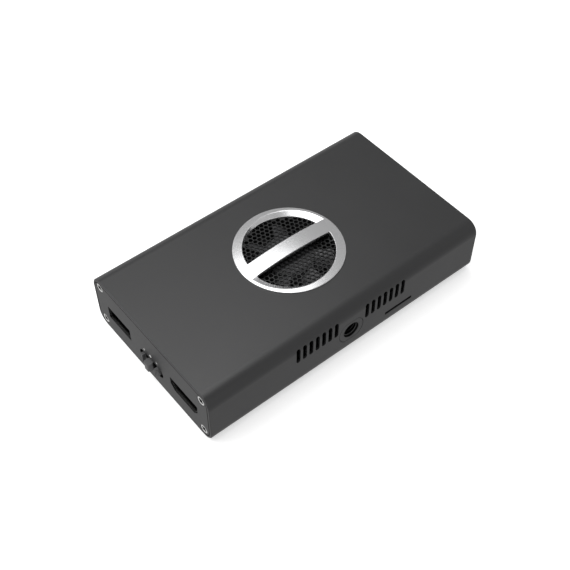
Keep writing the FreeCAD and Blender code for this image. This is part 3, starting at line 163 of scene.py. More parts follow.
# Seen from below, the floor is clear, so that the underside can be looked at.
side = add(tree, "ShaderNodeNewGeometry")
clear = add(tree, "ShaderNodeBsdfTransparent")
one_way = add(tree, "ShaderNodeMixShader", {},
              {0: side.outputs["Backfacing"], 1: shader.outputs[0], 2: clear.outputs[0]})
tree.links.new(one_way.outputs[0], tree.nodes["Material Output"].inputs["Surface"])

floor = flat_stage("floor", FLOOR_SIDE, FLOOR_SIDE, floor_material)
floor.location.z = -FLOOR_DROP * MM
print("the floor is", FLOOR_SIDE / 1000, "m wide")

# %% Light the sky
world = bpy.data.worlds.new("studio")
world.use_nodes = True
bpy.context.scene.world = world
tree = world.node_tree
sky = tree.nodes["Background"]
sky.inputs["Color"].default_value = (1, 1, 1, 1)
level = add(tree, "ShaderNodeMapRange", {"To Min": SKY_STRENGTH, "To Max": 1.0},
            {"Value": seen_rays(tree)})
tree.links.new(level.outputs[0], sky.inputs["Strength"])
print("sky strength", SKY_STRENGTH)

# %% [markdown]
# ## Soft lamps
# Dyed, blasted aluminium shows a lamp as a broad glow. In the picture that glow lies over the
# front of the top and fades towards the back. A small lamp would leave a hot spot, so a wide
# soft one hangs overhead, well in front of the middle, and is turned so that its edge runs along
# the case. A weak one low at the front left lifts the front plate.

# %% Hang the lamps
LAMPS = {
    # name: where it hangs and what it aims at in mm, width and height in mm, its turn about
    # the line of aim in degrees, power in watts
    "front_left": ((-150, -250, 190), (-10, -30, 12), (180, 120), 0, 0.12),
    "overhead": ((-272, -200, 700), (-272, -200, 0), (725, 900), -25, 3.8),
}

for name, (place, aim, size, turn, power) in LAMPS.items():
    lamp_data = bpy.data.lights.new(name, "AREA")
    lamp_data.shape = "RECTANGLE"
    lamp_data.size, lamp_data.size_y = size[0] * MM, size[1] * MM
    lamp_data.energy = power
    lamp = bpy.data.objects.new(name, lamp_data)
    lamp.location = Vector(place) * MM
    facing = (Vector(aim) - Vector(place)).to_track_quat("-Z", "Y")
    facing = facing @ Quaternion((0, 0, 1), math.radians(turn))
    lamp.rotation_euler = facing.to_euler()
    bpy.context.scene.collection.objects.link(lamp)
print("lamps:", ", ".join(LAMPS))

# %% [markdown]
# ## Grey cards for the reflections
# Metal shows what stands round it. On an all white stage the ring and the rounded edges would be
# one flat white, so a photographer stands grey cards where the metal looks. Here a ceiling gives
# the top its even grey, the cards at the far left and far right shade the ring and the rounded
# long edge, and the one on the table shades the sides. Glossy rays alone see the cards, so they
# shape the reflections and take no light from the object.

# %% Stand the cards
CARDS = {
    # name: its middle and the point it faces in mm, width and height in mm, grey level from 0 to 1
    "card_ceiling": ((-150, 100, 720), (-150, 100, 0), (2000, 2000), 0.37),
    "card_far_left": ((-330, 330, 280), (0, 0, 280), (700, 340), 0.36),
    "card_far_right": ((330, 190, 250), (0, 0, 250), (420, 520), 0.45),
    "card_table": ((0, 0, 1), (0, 0, 100), (1600, 1600), 0.5),
}

for name, (place, aim, size, level) in CARDS.items():
    card_material = bpy.data.materials.new(name)
    card_material.use_nodes = True
    shader = card_material.node_tree.nodes["Principled BSDF"]
    shader.inputs["Base Color"].default_value = (0, 0, 0, 1)
    shader.inputs["Specular IOR Level"].default_value = 0.0
    shader.inputs["Emission Color"].default_value = (1, 1, 1, 1)
    shader.inputs["Emission Strength"].default_value = level
    card = flat_stage(name, *size, card_material)
    card.location = Vector(place) * MM
    card.rotation_euler = (Vector(aim) - Vector(place)).to_track_quat("Z", "Y").to_euler()
    card.visible_camera = card.visible_diffuse = card.visible_shadow = False
    card.visible_transmission = card.visible_volume_scatter = False
print("grey cards:", len(CARDS))

# %% [markdown]
# ## Pieces as surfaces
# The solids are true in size, but a few pieces want a finer form: the bezel's dish, the six-lobed
# drive of the screws and the thread of the tripod bush. Each could be modelled by hand. Here each
# is a surface worked out with numpy, because a turned or threaded part is a formula: a profile
# carried round an axis. One helper joins the points of a grid into faces, welds the poles and
# turns the faces outward.

# %% Points into a closed mesh
WELD = 1e-7                 # points nearer than this become one, m
CREASE = math.radians(32)   # edges sharper than this stay sharp in the shading


def grid_faces(rows, columns):
    """Quads between neighbours of a grid of points, the last column joined to the first."""
    row, column = np.meshgrid(np.arange(rows - 1), np.arange(columns), indexing="ij")
    following = (column + 1) % columns
    return np.stack([row * columns + column, row * columns + following,
                     (row + 1) * columns + following, (row + 1) * columns + column],
                    axis=-1).reshape(-1, 4)


def surface(name, grids, material, replaced=()):
    """One piece of the housing from closed grids of points in mm, poles welded, faces outward."""
    points = [grid.reshape(-1, 3) for grid in grids]
    starts = np.cumsum([0] + [len(block) for block in points[:-1]])
    faces = [grid_faces(*grid.shape[:2]) + start for grid, start in zip(grids, starts)]
    mesh = bpy.data.meshes.new(name)
    mesh.from_pydata((np.concatenate(points) * MM).tolist(), [], np.concatenate(faces).tolist())
    work = bmesh.new()
    work.from_mesh(mesh)
    bmesh.ops.remove_doubles(work, verts=work.verts, dist=WELD)
    bmesh.ops.recalc_face_normals(work, faces=work.faces)
    work.to_mesh(mesh)
    work.free()
    mesh.shade_smooth()
    mesh.set_sharp_from_angle(angle=CREASE)
    mesh.materials.append(material)
    piece = bpy.data.objects.new(name, mesh)
    bpy.context.scene.collection.objects.link(piece)
    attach(piece, "housing")
    if replaced:
        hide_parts(*replaced)
    print(name, "has", len(mesh.polygons), "faces")
    return piece


def box_mm(node):
    """The lowest and highest corner of a node of the frame, in mm."""
    low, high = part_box(node)
    return np.array(low) / MM, np.array(high) / MM


def smooth(value):
    """Zero below 0, one above 1, and an even S between them: 3 t squared minus 2 t cubed."""
    t = np.clip(value, 0.0, 1.0)
    return t * t * (3 - 2 * t)


def quarter(centre, radius, first, last, steps=5):
    """Points of an arc in a profile's plane, from the first to the last angle in degrees."""
    angle = np.radians(np.linspace(first, last, steps))
    return np.stack([centre[0] + radius * np.cos(angle), centre[1] + radius * np.sin(angle)], -1)


# %% [markdown]
# ## The bezel
# The real ring and its bar are one shallow dome with two openings. The rims of the openings are
# circles that sit off the middle, one moved forward and one back, so each opening has a dished
# crescent that starts wide at one end of the bar and runs out at the other. That swirl paints the
# white and grey bands, and a plain turned cone would show an even band instead. The surface is
# worked out for every angle: the dome down to the rim, a small roll, and a straight fall to the
# round mouth.

# %% The ring
CIRCLE_STEPS = 360
RING_EDGE = 0.15            # rounding of the ring's outer edge, mm
RIM_RADIUS = 17.1           # radius of the circle each opening's rim lies on
RIM_SHIFT = 1.3             # how far that circle is moved along the bar
ROLL = 0.22                 # reach of the roll at the rim
THROAT = 16.0               # radius of the round mouth
THROAT_RISE = 0.6           # height of the mouth's upper edge over the ring's underside
LIP = 0.12                  # reach of the roll at the mouth
ROLL_SHARE = 0.45           # the most of the dish that one roll may take
SIDE_CHANGE = 0.14          # the rim changes sides where the angle's cosine is below this
DISH_LEAST = 0.1            # the mouth stays this far inside the rim
SPIGOT = 17.35              # radius of the ring's neck in the housing
SEAT_DEPTH = 0.8            # how deep the ring is let into the top
FACE_RISE = 0.4             # height of the dome's foot over the top
BAR_LIFT = 0.02             # the bar lies this much over the ring, so that it covers it

ring_low, ring_high = box_mm("bezel_ring")
case_low, case_high = box_mm("housing_tube")
ring_outer = ring_high[0]
ring_seat = case_high[2] - SEAT_DEPTH
dome_rise = ring_high[2] - case_high[2] - FACE_RISE
dome_radius = (ring_outer ** 2 + dome_rise ** 2) / (2 * dome_rise)


def dome(radius):
    """Height of the dome over a radius: the root of dome radius squared minus radius squared."""
    return ring_high[2] - dome_radius + np.sqrt(dome_radius ** 2 - radius ** 2)


def bend(first, corner, last, steps):
    """A quadratic Bezier: (1 - t) squared first + 2 t (1 - t) corner + t squared last."""
    t = np.linspace(0, 1, steps)[:, None, None]
    return (1 - t) ** 2 * first + 2 * t * (1 - t) * corner + t ** 2 * last


def ring_grid():
    """Radius and height for every angle. The rim is RIM_RADIUS minus or plus RIM_SHIFT times
    the sine of the angle, and changes sides under the bar."""
    angle = np.linspace(0, 2 * np.pi, CIRCLE_STEPS, endpoint=False)
    side = np.clip(np.cos(angle) / SIDE_CHANGE, -1, 1)
    rim = RIM_RADIUS - RIM_SHIFT * side * np.sin(angle)
    mouth = np.minimum(THROAT, rim - DISH_LEAST)

    def ring(radius, height):
        return np.stack([np.broadcast_to(radius, angle.shape),
                         np.broadcast_to(height, angle.shape)])

    shoulder = ring_outer - RING_EDGE
    top = dome(shoulder) - BAR_LIFT
    corner = ring(rim, dome(rim) - BAR_LIFT)
    foot = ring(mouth, ring_low[2] + THROAT_RISE)
    fall = foot - corner
    length = np.hypot(*fall)
    roll_start = ring(rim + ROLL, dome(rim + ROLL) - BAR_LIFT)
    roll_end = corner + fall * np.minimum(ROLL_SHARE, ROLL / length)
    lip_start = foot - fall * np.minimum(ROLL_SHARE, LIP / length)
    edge = [ring(*point) for point in quarter((shoulder, top - RING_EDGE), RING_EDGE, 0, 90)]
    share = np.linspace(0, 1, 16)[1:-1, None]
    face_radius = shoulder + share * (rim + ROLL - shoulder)
    face = np.stack([face_radius, dome(face_radius) - BAR_LIFT], 1)
    rows = np.concatenate([
        [ring(ring_outer, ring_seat)], edge, face,
        bend(roll_start, corner, roll_end, 9),
        bend(roll_end, (roll_end + lip_start) / 2, lip_start, 6)[1:],
        bend(lip_start, foot, ring(mouth, foot[1] - LIP), 6)[1:],
        [ring(mouth, ring_low[2]), ring(SPIGOT, ring_low[2]), ring(SPIGOT, ring_seat),
         ring(ring_outer, ring_seat)]])
    radius, height = rows[:, 0], rows[:, 1]
    return np.stack([radius * np.cos(angle), radius * np.sin(angle), height], -1)


# %% The bar
BAR_HALF = 3.0              # half its width, mm
BAR_THICK = 1.15
BAR_BEVEL = 0.16
BAR_FREE = 15.0             # from here on the bar runs into the ring and loses its bevel
BAR_FADE = 1.2              # length over which the bevel goes
BAR_EDGE = 0.005            # what is left of it
BAR_INSET = 0.2             # how far its ends stay inside the ring's edge
BAR_SUPPORT = 0.1           # distance from a bevel to the point that keeps the face flat


def bar_grid():
    """A rounded rectangle carried over the dome. Each corner point is the corner plus the bevel
    times (cosine minus side, sine minus side), so the bevel can shrink along the bar. A point
    just past each end of a bevel keeps the flat faces flat where normals are blended."""
    turn = np.radians(np.concatenate([np.clip(np.linspace(-22.5, 112.5, 7), 0, 90) + a
                                      for a in (0, 90, 180, 270)]))
    past = np.tile([-BAR_SUPPORT, 0, 0, 0, 0, 0, BAR_SUPPORT], 4)
    side = np.repeat([1, -1, -1, 1], 7)
    upper = np.repeat([1, 1, -1, -1], 7)
    along = np.linspace(-1, 1, 121)[:, None]
    y = along * np.sqrt((ring_outer - BAR_INSET) ** 2 - BAR_HALF ** 2) * np.ones(len(turn))
    bevel = BAR_BEVEL * (1 - smooth((np.abs(y) - BAR_FREE) / BAR_FADE)) + BAR_EDGE
    x = side * BAR_HALF + bevel * (np.cos(turn) - side) - past * np.sin(turn)
    below = ((upper - 1) / 2 * BAR_THICK + bevel * (np.sin(turn) - upper)
             + past * np.cos(turn))
    z = dome(np.hypot(x, y)) + below
    body = np.stack([x, y, z], -1)
    ends = [np.broadcast_to(body[i].mean(axis=0), body[:1].shape) for i in (0, -1)]
    return np.concatenate([ends[0], body, ends[1]])


# %% [markdown]
# ## The plate screws
# Small countersunk screws hold the plates, and each shows as a bright rim round a dark six-lobed
# drive. A disc with a hole in the material would look painted, so the drive is cut into the
# surface: on the rows of the grid that belong to it, the radius swells and shrinks six times a
# turn.

# %% Six-lobed screws
SCREW_STEPS = 72
SCREW_HEAD = 1.7            # radius of the head's rim, mm
SCREW_SINK = 0.08           # how far the rim lies below the plate's face
SCREW_SHANK = 1.0
SCREW_LENGTH = 6.0
DRIVE_RADIUS = 1.12
DRIVE_DEPTH = 0.8
LOBE = 0.13                 # how far the drive's lobes reach beyond its mean radius
CAD_HEAD = 1.95             # radius of the head in the frame, which places the axis


def screw_grid(x, z, face_y, inward):
    """Rows of radius and depth turned about a line along y; drive rows have the radius
    r (1 + lobe cos 6a), where a is the angle."""
    rows = np.array([
        # radius, depth below the face, share of the lobes
        (0.0, DRIVE_DEPTH, 0.0), (DRIVE_RADIUS * 0.9, DRIVE_DEPTH, 1.0),
        (DRIVE_RADIUS, DRIVE_DEPTH - 0.1, 1.0), (DRIVE_RADIUS, SCREW_SINK + 0.1, 1.0),
        (DRIVE_RADIUS + 0.03, SCREW_SINK + 0.03, 1.0), (DRIVE_RADIUS + 0.08, SCREW_SINK, 0.8),
        (SCREW_HEAD - 0.12, SCREW_SINK, 0.0), (SCREW_HEAD - 0.03, SCREW_SINK + 0.04, 0.0),
        (SCREW_HEAD, SCREW_SINK + 0.13, 0.0), (SCREW_SHANK, 1.05, 0.0),
        (SCREW_SHANK, SCREW_LENGTH, 0.0), (0.0, SCREW_LENGTH, 0.0)])
    angle = np.linspace(0, 2 * np.pi, SCREW_STEPS, endpoint=False)
    radius = rows[:, :1] * (1 + rows[:, 2:] * LOBE * np.cos(6 * angle))
    depth = np.broadcast_to(rows[:, 1:2], radius.shape)
    return np.stack([x + radius * np.cos(angle), face_y + inward * depth,
                     z + radius * np.sin(angle)], -1)


def plate_screws(node):
    """The four screws of one plate, on the axes that the frame's screws have."""
    low, high = box_mm(node)
    inward = 1 if low[1] < 0 else -1
    face_y = low[1] if inward > 0 else high[1]
    return [screw_grid(x, z, face_y, inward)
            for x in (low[0] + CAD_HEAD, high[0] - CAD_HEAD)
            for z in (low[2] + CAD_HEAD, high[2] - CAD_HEAD)]


# %% [markdown]
# ## The threaded bush
# The tripod thread shows as rings inside the hole. A true thread is a groove that climbs as it
# turns, so the depth of each point depends on how far along and how far round it is.

# %% Bush with a helical thread
BUSH_STEPS = 96
THREAD_PITCH = 1.27         # a quarter inch, twenty threads to the inch
THREAD_CORE = 2.6           # radius at the crests, mm
THREAD_OUTER = 3.12         # radius in the groove
THREAD_START = 0.35         # where the thread starts, mm below the face
THREAD_RUN = 6.4            # where it ends
THREAD_FADE = (0.5, 0.6)    # length over which it grows at the mouth and runs out at the end
CREST_WIDTH = 1.25          # above one, the crests are flat, as a real thread's are
MOUTH = 3.28                # radius of the countersunk mouth
BARREL = 4.0
FLANGE_THICK = 1.0
FLANGE_BREAK = 0.1          # small chamfer round the flange
bush_low, bush_high = box_mm("tripod_insert")


def bush_grid():
    """Rows run from the hole's floor up the thread, over the mouth and flange and down the
    barrel. In the thread the radius is the core plus a triangle wave of depth over pitch plus
    turn; the flange's outline is a circle cut by two flats."""
    angle = np.linspace(0, 2 * np.pi, BUSH_STEPS, endpoint=False)
    middle = (bush_low[2] + bush_high[2]) / 2
    flange = bush_high[1]
    flat = bush_high[2] - middle
    outline = np.minimum(flange, flat / np.maximum(np.abs(np.sin(angle)), 1e-6))
    depth = np.linspace(THREAD_RUN, THREAD_START, 110)[:, None]
    phase = (depth / THREAD_PITCH + angle / (2 * np.pi)) % 1.0
    ridge = 1 - np.abs(2 * phase - 1)
    fade = (smooth((depth - THREAD_START) / THREAD_FADE[0])
            * smooth((THREAD_RUN - depth) / THREAD_FADE[1]))
    deep = THREAD_OUTER - (THREAD_OUTER - THREAD_CORE) * smooth(CREST_WIDTH * ridge) * fade
    around = np.ones_like(angle)
    rows = [(0 * around, THREAD_RUN + 0.6), (THREAD_CORE * around, THREAD_RUN + 0.2)]
    rows += list(zip(deep, depth[:, 0]))
    rows += [(MOUTH * around, 0.06), ((MOUTH + 0.08) * around, 0.0),
             (outline - FLANGE_BREAK, 0.0), (outline, FLANGE_BREAK), (outline, FLANGE_THICK),
             (BARREL * around, FLANGE_THICK), (BARREL * around, bush_high[0] - bush_low[0]),
             (0 * around, bush_high[0] - bush_low[0])]
    radius = np.stack([row[0] for row in rows])
    inward = np.stack([np.full_like(angle, row[1]) for row in rows])
    return np.stack([bush_high[0] - inward, radius * np.cos(angle),
                     middle + radius * np.sin(angle)], -1)


# %% [markdown]
# ## Marks over the lever
# The lever is rocked and pressed, so three small white marks are printed over it: one for each
# way and one for the press. They are plates about a hundredth of a millimetre proud, as ink is,
# rather than a colour in the material, so they stay sharp at any distance.

# %% Printed marks
MARK_LEVEL = 12.0           # height of the marks' middles, mm
MARK_SPREAD = 3.6           # from the middle mark to each of the others
MARK_RADIUS = 0.62
INK = 0.015                 # thickness of the ink
plate_low, plate_high = box_mm("front_plate")


def mark_grid(x, sides, turn):
    """A regular polygon as a closed plate: its radius is cos(h) over cos of the angle to the
    nearest side's middle, where h is half a side's angle."""
    half = np.pi / sides
    angle = np.linspace(0, 2 * np.pi, 12 * sides, endpoint=False)
    reach = MARK_RADIUS * np.cos(half) / np.cos((angle - turn) % (2 * half) - half)
    share = np.array([0.0, 1.0, 1.0, 0.0])[:, None]
    depth = np.array([INK, INK, 0.0, 0.0])[:, None] * np.ones_like(angle)
    return np.stack([x + share * reach * np.cos(angle), plate_low[1] - depth,
                     MARK_LEVEL + share * reach * np.sin(angle)], -1)


# %% [markdown]
# ## Materials
# Each finish starts from what the real surface is. A base function makes the shader with its
# plain values, and a second one adds the grain that blasting, moulding or coating leaves: noise in
# object coordinates that moves the normal, the roughness and the shade a little. Grain sizes are
# real ones in millimetres, drawn coarser where a pixel of this picture, 0.35 mm, would hide them.

# %% Base shader and grain
def finish(name, colour, roughness, metallic=0.0, **sockets):
    """A material with one shader; extra sockets are named with underscores for spaces."""
    made = bpy.data.materials.new(name)
    made.use_nodes = True
    shader = made.node_tree.nodes["Principled BSDF"]
    shader.inputs["Base Color"].default_value = linear(colour)
    shader.inputs["Roughness"].default_value = roughness
    shader.inputs["Metallic"].default_value = metallic
    for socket, value in sockets.items():
        shader.inputs[socket.replace("_", " ")].default_value = value
    return made


def grain(made, size, depth, shade=0.06, rough=0.05, stretch=(1, 1, 1)):
    """Noise of a real grain size and depth in mm, in the normal, roughness and shade."""
    tree = made.node_tree
    shader = tree.nodes["Principled BSDF"]
    place = add(tree, "ShaderNodeTexCoord")
    turned = add(tree, "ShaderNodeMapping", {"Scale": stretch},
                 {"Vector": place.outputs["Object"]})
    fine = add(tree, "ShaderNodeTexNoise", {"Scale": 1 / (size * MM), "Detail": 2.0},
               {"Vector": turned.outputs[0]})
    broad = add(tree, "ShaderNodeTexNoise", {"Scale": 1 / (40 * size * MM), "Detail": 3.0},
                {"Vector": turned.outputs[0]})
    bump = add(tree, "ShaderNodeBump", {"Distance": depth * MM}, {"Height": fine.outputs[0]})
    tree.links.new(bump.outputs[0], shader.inputs["Normal"])
    base_roughness = shader.inputs["Roughness"].default_value
    gloss = add(tree, "ShaderNodeMapRange",
                {"To Min": base_roughness - rough, "To Max": base_roughness + rough},
                {"Value": broad.outputs[0]})
    tree.links.new(gloss.outputs[0], shader.inputs["Roughness"])
    red, green, blue, _ = shader.inputs["Base Color"].default_value
    colours = add(tree, "ShaderNodeMix", {"data_type": "RGBA"}, {0: broad.outputs[0]})
    for socket, level in ((6, 1 - shade), (7, 1 + shade)):
        colours.inputs[socket].default_value = (red * level, green * level, blue * level, 1.0)
    tree.links.new(colours.outputs[2], shader.inputs["Base Color"])
    return made


# %% Metals of the case
# Anodised aluminium, blasted with fine beads: a dye layer over metal, so a soft sheen and no
# mirror image. The beads leave 0.1 mm dimples, drawn at 0.45 mm to show at all.
CASE_COLOUR = "#232324"
CASE_SHEEN = 0.72


def anodised(part, colour=CASE_COLOUR):
    """The case's finish under a name of its own, for parts with painted shade inside."""
    made = finish("bead_blasted_anodised_" + part, colour, 0.38, Specular_IOR_Level=CASE_SHEEN)
    return grain(made, size=0.45, depth=0.012)


anodised_case = anodised("aluminium")
# Turned aluminium under clear anodising: the tool leaves rings too fine to see one by one, and
# light spreads across them. The bar has no rings, so its satin gloss has no direction.
satin_bezel = finish("turned_aluminium", "#f2f2f3", 0.26, 1.0, Anisotropic=0.2)
satin_bar = grain(finish("satin_aluminium", "#f2f2f3", 0.26, 1.0), size=0.5, depth=0.001,
                  shade=0.02, rough=0.02)
# Screen printed ink: matt and a little off white.
printed_ink = grain(finish("screen_printed_ink", "#d6d6d4", 0.6), size=0.3, depth=0.002)
# Punched sheet with a smooth black coat that catches small highlights.
black_grille = grain(finish("black_coated_sheet", "#0b0b0c", 0.3, Specular_IOR_Level=0.55),
                     size=1.6, depth=0.05)
# Nickel plated steel: bright, slightly warm.
plated_screw = grain(finish("nickel_plated_steel", "#dedddb", 0.3, 1.0), size=0.4, depth=0.002)
# The bush for the tripod is turned and dyed with the case, so only its outline shows.
insert_metal = anodised("turned_bush")
# Zinc plated steel: paler and more matt than nickel. The drive gets painted shade as it goes in.
drive_steel = grain(finish("zinc_plated_screw_steel", "#efefee", 0.4, 0.5), size=0.4,
                    depth=0.002)
print("case colour", CASE_COLOUR, "is", [round(part, 4) for part in linear(CASE_COLOUR)[:3]])

# %% Turning rings on the bezel
# The rings run about the vertical axis through the origin, so the stretch of the highlight
# follows a radial tangent about Z.
tree = satin_bezel.node_tree
shader = tree.nodes["Principled BSDF"]
around = add(tree, "ShaderNodeTangent", {"direction_type": "RADIAL", "axis": "Z"})
tree.links.new(around.outputs[0], shader.inputs["Tangent"])
print("the bezel's highlight is stretched by", shader.inputs["Anisotropic"].default_value)

# %% Plastics
# Moulded ABS with a fine spark-eroded texture, as on fan frames and socket bodies: a dull sheen.
black_plastic = grain(finish("moulded_black_plastic", "#1a1a1b", 0.5), size=0.5, depth=0.01)
grey_plastic = grain(finish("moulded_grey_plastic", "#6a6a6b", 0.48), size=0.4, depth=0.012)
white_plastic = grain(finish("moulded_white_plastic", "#d8d7d2", 0.45), size=0.5, depth=0.008)
# Epoxy moulding compound of chips: matt, nearly black.
chip_plastic = grain(finish("epoxy_chip_package", "#222224", 0.6), size=0.3, depth=0.008)
# Bonded magnet and soft silicone: dull, no coat.
magnet_rubber = grain(finish("bonded_magnet", "#302f2f", 0.7), size=0.5, depth=0.01)
thermal_silicone = grain(finish("silicone_pad", "#8b949c", 0.75), size=0.6, depth=0.01)
# Glass-filled nylon of the fan, in a grey paler than its plastic: painted light for the glints
# its blades catch, so that they show through the grille.
fan_nylon = grain(finish("glass_filled_fan_plastic", "#606062", 0.35), size=1.2, depth=0.01)

# %% Board, metals inside and lights
# Solder mask over glass epoxy: a thin glossy coat over a dark board.
circuit_board = grain(finish("solder_mask_on_glass_epoxy", "#10231b", 0.35, Coat_Weight=0.3),
                      size=0.8, depth=0.006)
# Milled aluminium of the heat sink, with the cutter's marks along it, and drawn cans.
sink_aluminium = grain(finish("milled_aluminium", "#b9babc", 0.35, 1.0), size=0.5, depth=0.006,
                       stretch=(1, 0.1, 1))
can_aluminium = grain(finish("drawn_aluminium_can", "#c3c4c6", 0.3, 1.0), size=0.4, depth=0.003)
# Drawn steel sheet, nickel plated, with faint draw marks along the socket.
socket_steel = grain(finish("plated_steel_sheet", "#bcbcbb", 0.3, 1.0), size=0.5, depth=0.003,
                     stretch=(1, 0.15, 1))
# Small metal parts: gold flash on contacts, a ground shaft, porous bronze and lacquered wire.
contact_gold = grain(finish("gold_flash_on_bronze", "#d9b464", 0.25, 1.0), size=0.3, depth=0.002)
shaft_steel = grain(finish("ground_steel", "#c4c4c4", 0.22, 1.0), size=0.3, depth=0.002)
bearing_bronze = grain(finish("sintered_bronze", "#9c7a4c", 0.5, 1.0), size=0.2, depth=0.01)
coil_copper = grain(finish("enamelled_copper", "#a35a2c", 0.35, 0.8), size=0.3, depth=0.01,
                    stretch=(1, 1, 4))
# Clear polycarbonate light guides, slightly hazed on the end that shows.
clear_guide = grain(finish("clear_polycarbonate", "#eef0f0", 0.25, Transmission_Weight=0.85,
                           IOR=1.58), size=0.5, depth=0.004)
# Resin over a light, slightly yellow where it is off.
led_white = grain(finish("led_resin", "#e8e2c8", 0.3), size=0.3, depth=0.004)
print("materials so far:", len(bpy.data.materials))

# %% [markdown]
# ## Painted shade inside
# In the picture every slot and socket is nearly black a little way in, because light that enters
# between dark walls doesn't come out again. More bounces would only approach that slowly, so the
# walls' colour is darkened with depth: painted shade. Depth comes from object coordinates, so it
# holds from any side and moves with the piece.

# %% Scale what a shader shows
def scale_colour(made, factor):
    """Multiplies what feeds the base colour by a factor, and dims the mirror light with it."""
    tree = made.node_tree
    shader = tree.nodes["Principled BSDF"]
    base = shader.inputs["Base Color"]
    darker = add(tree, "ShaderNodeVectorMath", {"operation": "SCALE"}, {"Scale": factor})
    tree.links.new(base.links[0].from_socket, darker.inputs[0])
    tree.links.new(darker.outputs[0], base)
    level = shader.inputs["Specular IOR Level"]
    sheen = add(tree, "ShaderNodeMath", {"operation": "MULTIPLY", 1: level.default_value},
                {0: factor})
    if level.links:
        tree.links.new(level.links[0].from_socket, sheen.inputs[1])
    tree.links.new(sheen.outputs[0], level)
    return made


# %% Fall-off along an axis
def paint_shade_inside(made, axis, face, reach, least=0.08):
    """Painted shade: one at a face, falling to least a reach in mm under it, at both ends of an
    axis.
    """
    tree = made.node_tree
    place = add(tree, "ShaderNodeTexCoord")
    parts = add(tree, "ShaderNodeSeparateXYZ", {}, {0: place.outputs["Object"]})
    out = add(tree, "ShaderNodeMath", {"operation": "ABSOLUTE"}, {0: parts.outputs[axis]})
    factor = add(tree, "ShaderNodeMapRange",
                 {"From Min": (face - reach) * MM, "From Max": face * MM,
                  "To Min": least, "To Max": 1.0}, {"Value": out.outputs[0]})
    return scale_colour(made, factor.outputs[0])


# %% Distance to the outline of the tube
CORNER = 4.8                # outer radius of the tube's long edges, mm


def outline_distance(tree):
    """Distance to the tube's rounded outline, plus the corner radius: with q = |p| - half size
    + corner it is |max(q, 0)| + min(max(q.x, q.z), 0). Also gives |p|."""
    half = (case_high - case_low) / 2
    middle = (case_high + case_low) / 2
    place = add(tree, "ShaderNodeTexCoord")
    from_middle = add(tree, "ShaderNodeVectorMath",
                      {"operation": "SUBTRACT", 1: (0, 0, middle[2] * MM)},
                      {0: place.outputs["Object"]})
    size = add(tree, "ShaderNodeVectorMath", {"operation": "ABSOLUTE"},
               {0: from_middle.outputs[0]})
    q = add(tree, "ShaderNodeVectorMath",
            {"operation": "SUBTRACT",
             1: ((half[0] - CORNER) * MM, 1.0, (half[2] - CORNER) * MM)}, {0: size.outputs[0]})
    beyond = add(tree, "ShaderNodeVectorMath", {"operation": "MAXIMUM", 1: (0, 0, 0)},
                 {0: q.outputs[0]})
    length = add(tree, "ShaderNodeVectorMath", {"operation": "LENGTH"}, {0: beyond.outputs[0]})
    parts = add(tree, "ShaderNodeSeparateXYZ", {}, {0: q.outputs[0]})
    larger = add(tree, "ShaderNodeMath", {"operation": "MAXIMUM"},
                 {0: parts.outputs[0], 1: parts.outputs[2]})
    within = add(tree, "ShaderNodeMath", {"operation": "MINIMUM", 1: 0.0},
                 {0: larger.outputs[0]})
    distance = add(tree, "ShaderNodeMath", {"operation": "ADD"},
                   {0: length.outputs["Value"], 1: within.outputs[0]})
    return distance.outputs[0], size.outputs[0]


# %% Fall-off under the outline
# Painted shade: the tube's walls darken in its vents and openings, and its end next to the gap
# round the plate.
SKIN = (0.5, 1.1)           # depths at which a wall starts to darken and is dark, mm
SEAM = (1.0, 1.2)           # depths between which the gap round the plate lies
SEAM_SHADE = 0.3            # how far the painted shade reaches past the gap
WALL_LEAST = 0.08           # what is left of the colour deep in an opening
SEAM_LEAST = 0.1            # and at the gap
END_BAND = (0.2, 0.05)      # depths from the end face between which its own painted seam shade takes over


def paint_shade_under_skin(made):
    """Painted shade: the tube's walls darken with depth, and its end faces only next to the seam.
    """
    tree = made.node_tree
    distance, size = outline_distance(tree)
    along = add(tree, "ShaderNodeSeparateXYZ", {}, {0: size})
    end = add(tree, "ShaderNodeMapRange",
              {"From Min": (case_high[1] - END_BAND[0]) * MM,
               "From Max": (case_high[1] - END_BAND[1]) * MM}, {"Value": along.outputs[1]})
    wall, face = (add(tree, "ShaderNodeMapRange",
                      {"From Min": (CORNER - dark) * MM, "From Max": (CORNER - light) * MM,
                       "To Min": least, "To Max": 1.0}, {"Value": distance})
                  for light, dark, least in ((*SKIN, WALL_LEAST),
                                             (SEAM[0] - SEAM_SHADE, SEAM[0], SEAM_LEAST)))
    rim = add(tree, "ShaderNodeMath", {"operation": "MULTIPLY"},
              {0: end.outputs[0], 1: face.outputs[0]})
    factor = add(tree, "ShaderNodeMath", {"operation": "MAXIMUM"},
                 {0: wall.outputs[0], 1: rim.outputs[0]})
    return scale_colour(made, factor.outputs[0])


def paint_seam_shade(made):
    """Painted shade: the plate's face darkens next to the seam, from the middle outwards."""
    tree = made.node_tree
    distance, _ = outline_distance(tree)
    factor = add(tree, "ShaderNodeMapRange",
                 {"From Min": (CORNER - SEAM[1] - SEAM_SHADE) * MM,
                  "From Max": (CORNER - SEAM[1]) * MM, "To Min": 1.0, "To Max": SEAM_LEAST},
                 {"Value": distance})
    return scale_colour(made, factor.outputs[0])


# %% Pockets of the lever
POCKET_EDGE = 0.1           # width over which a pocket's side goes from light to dark, mm


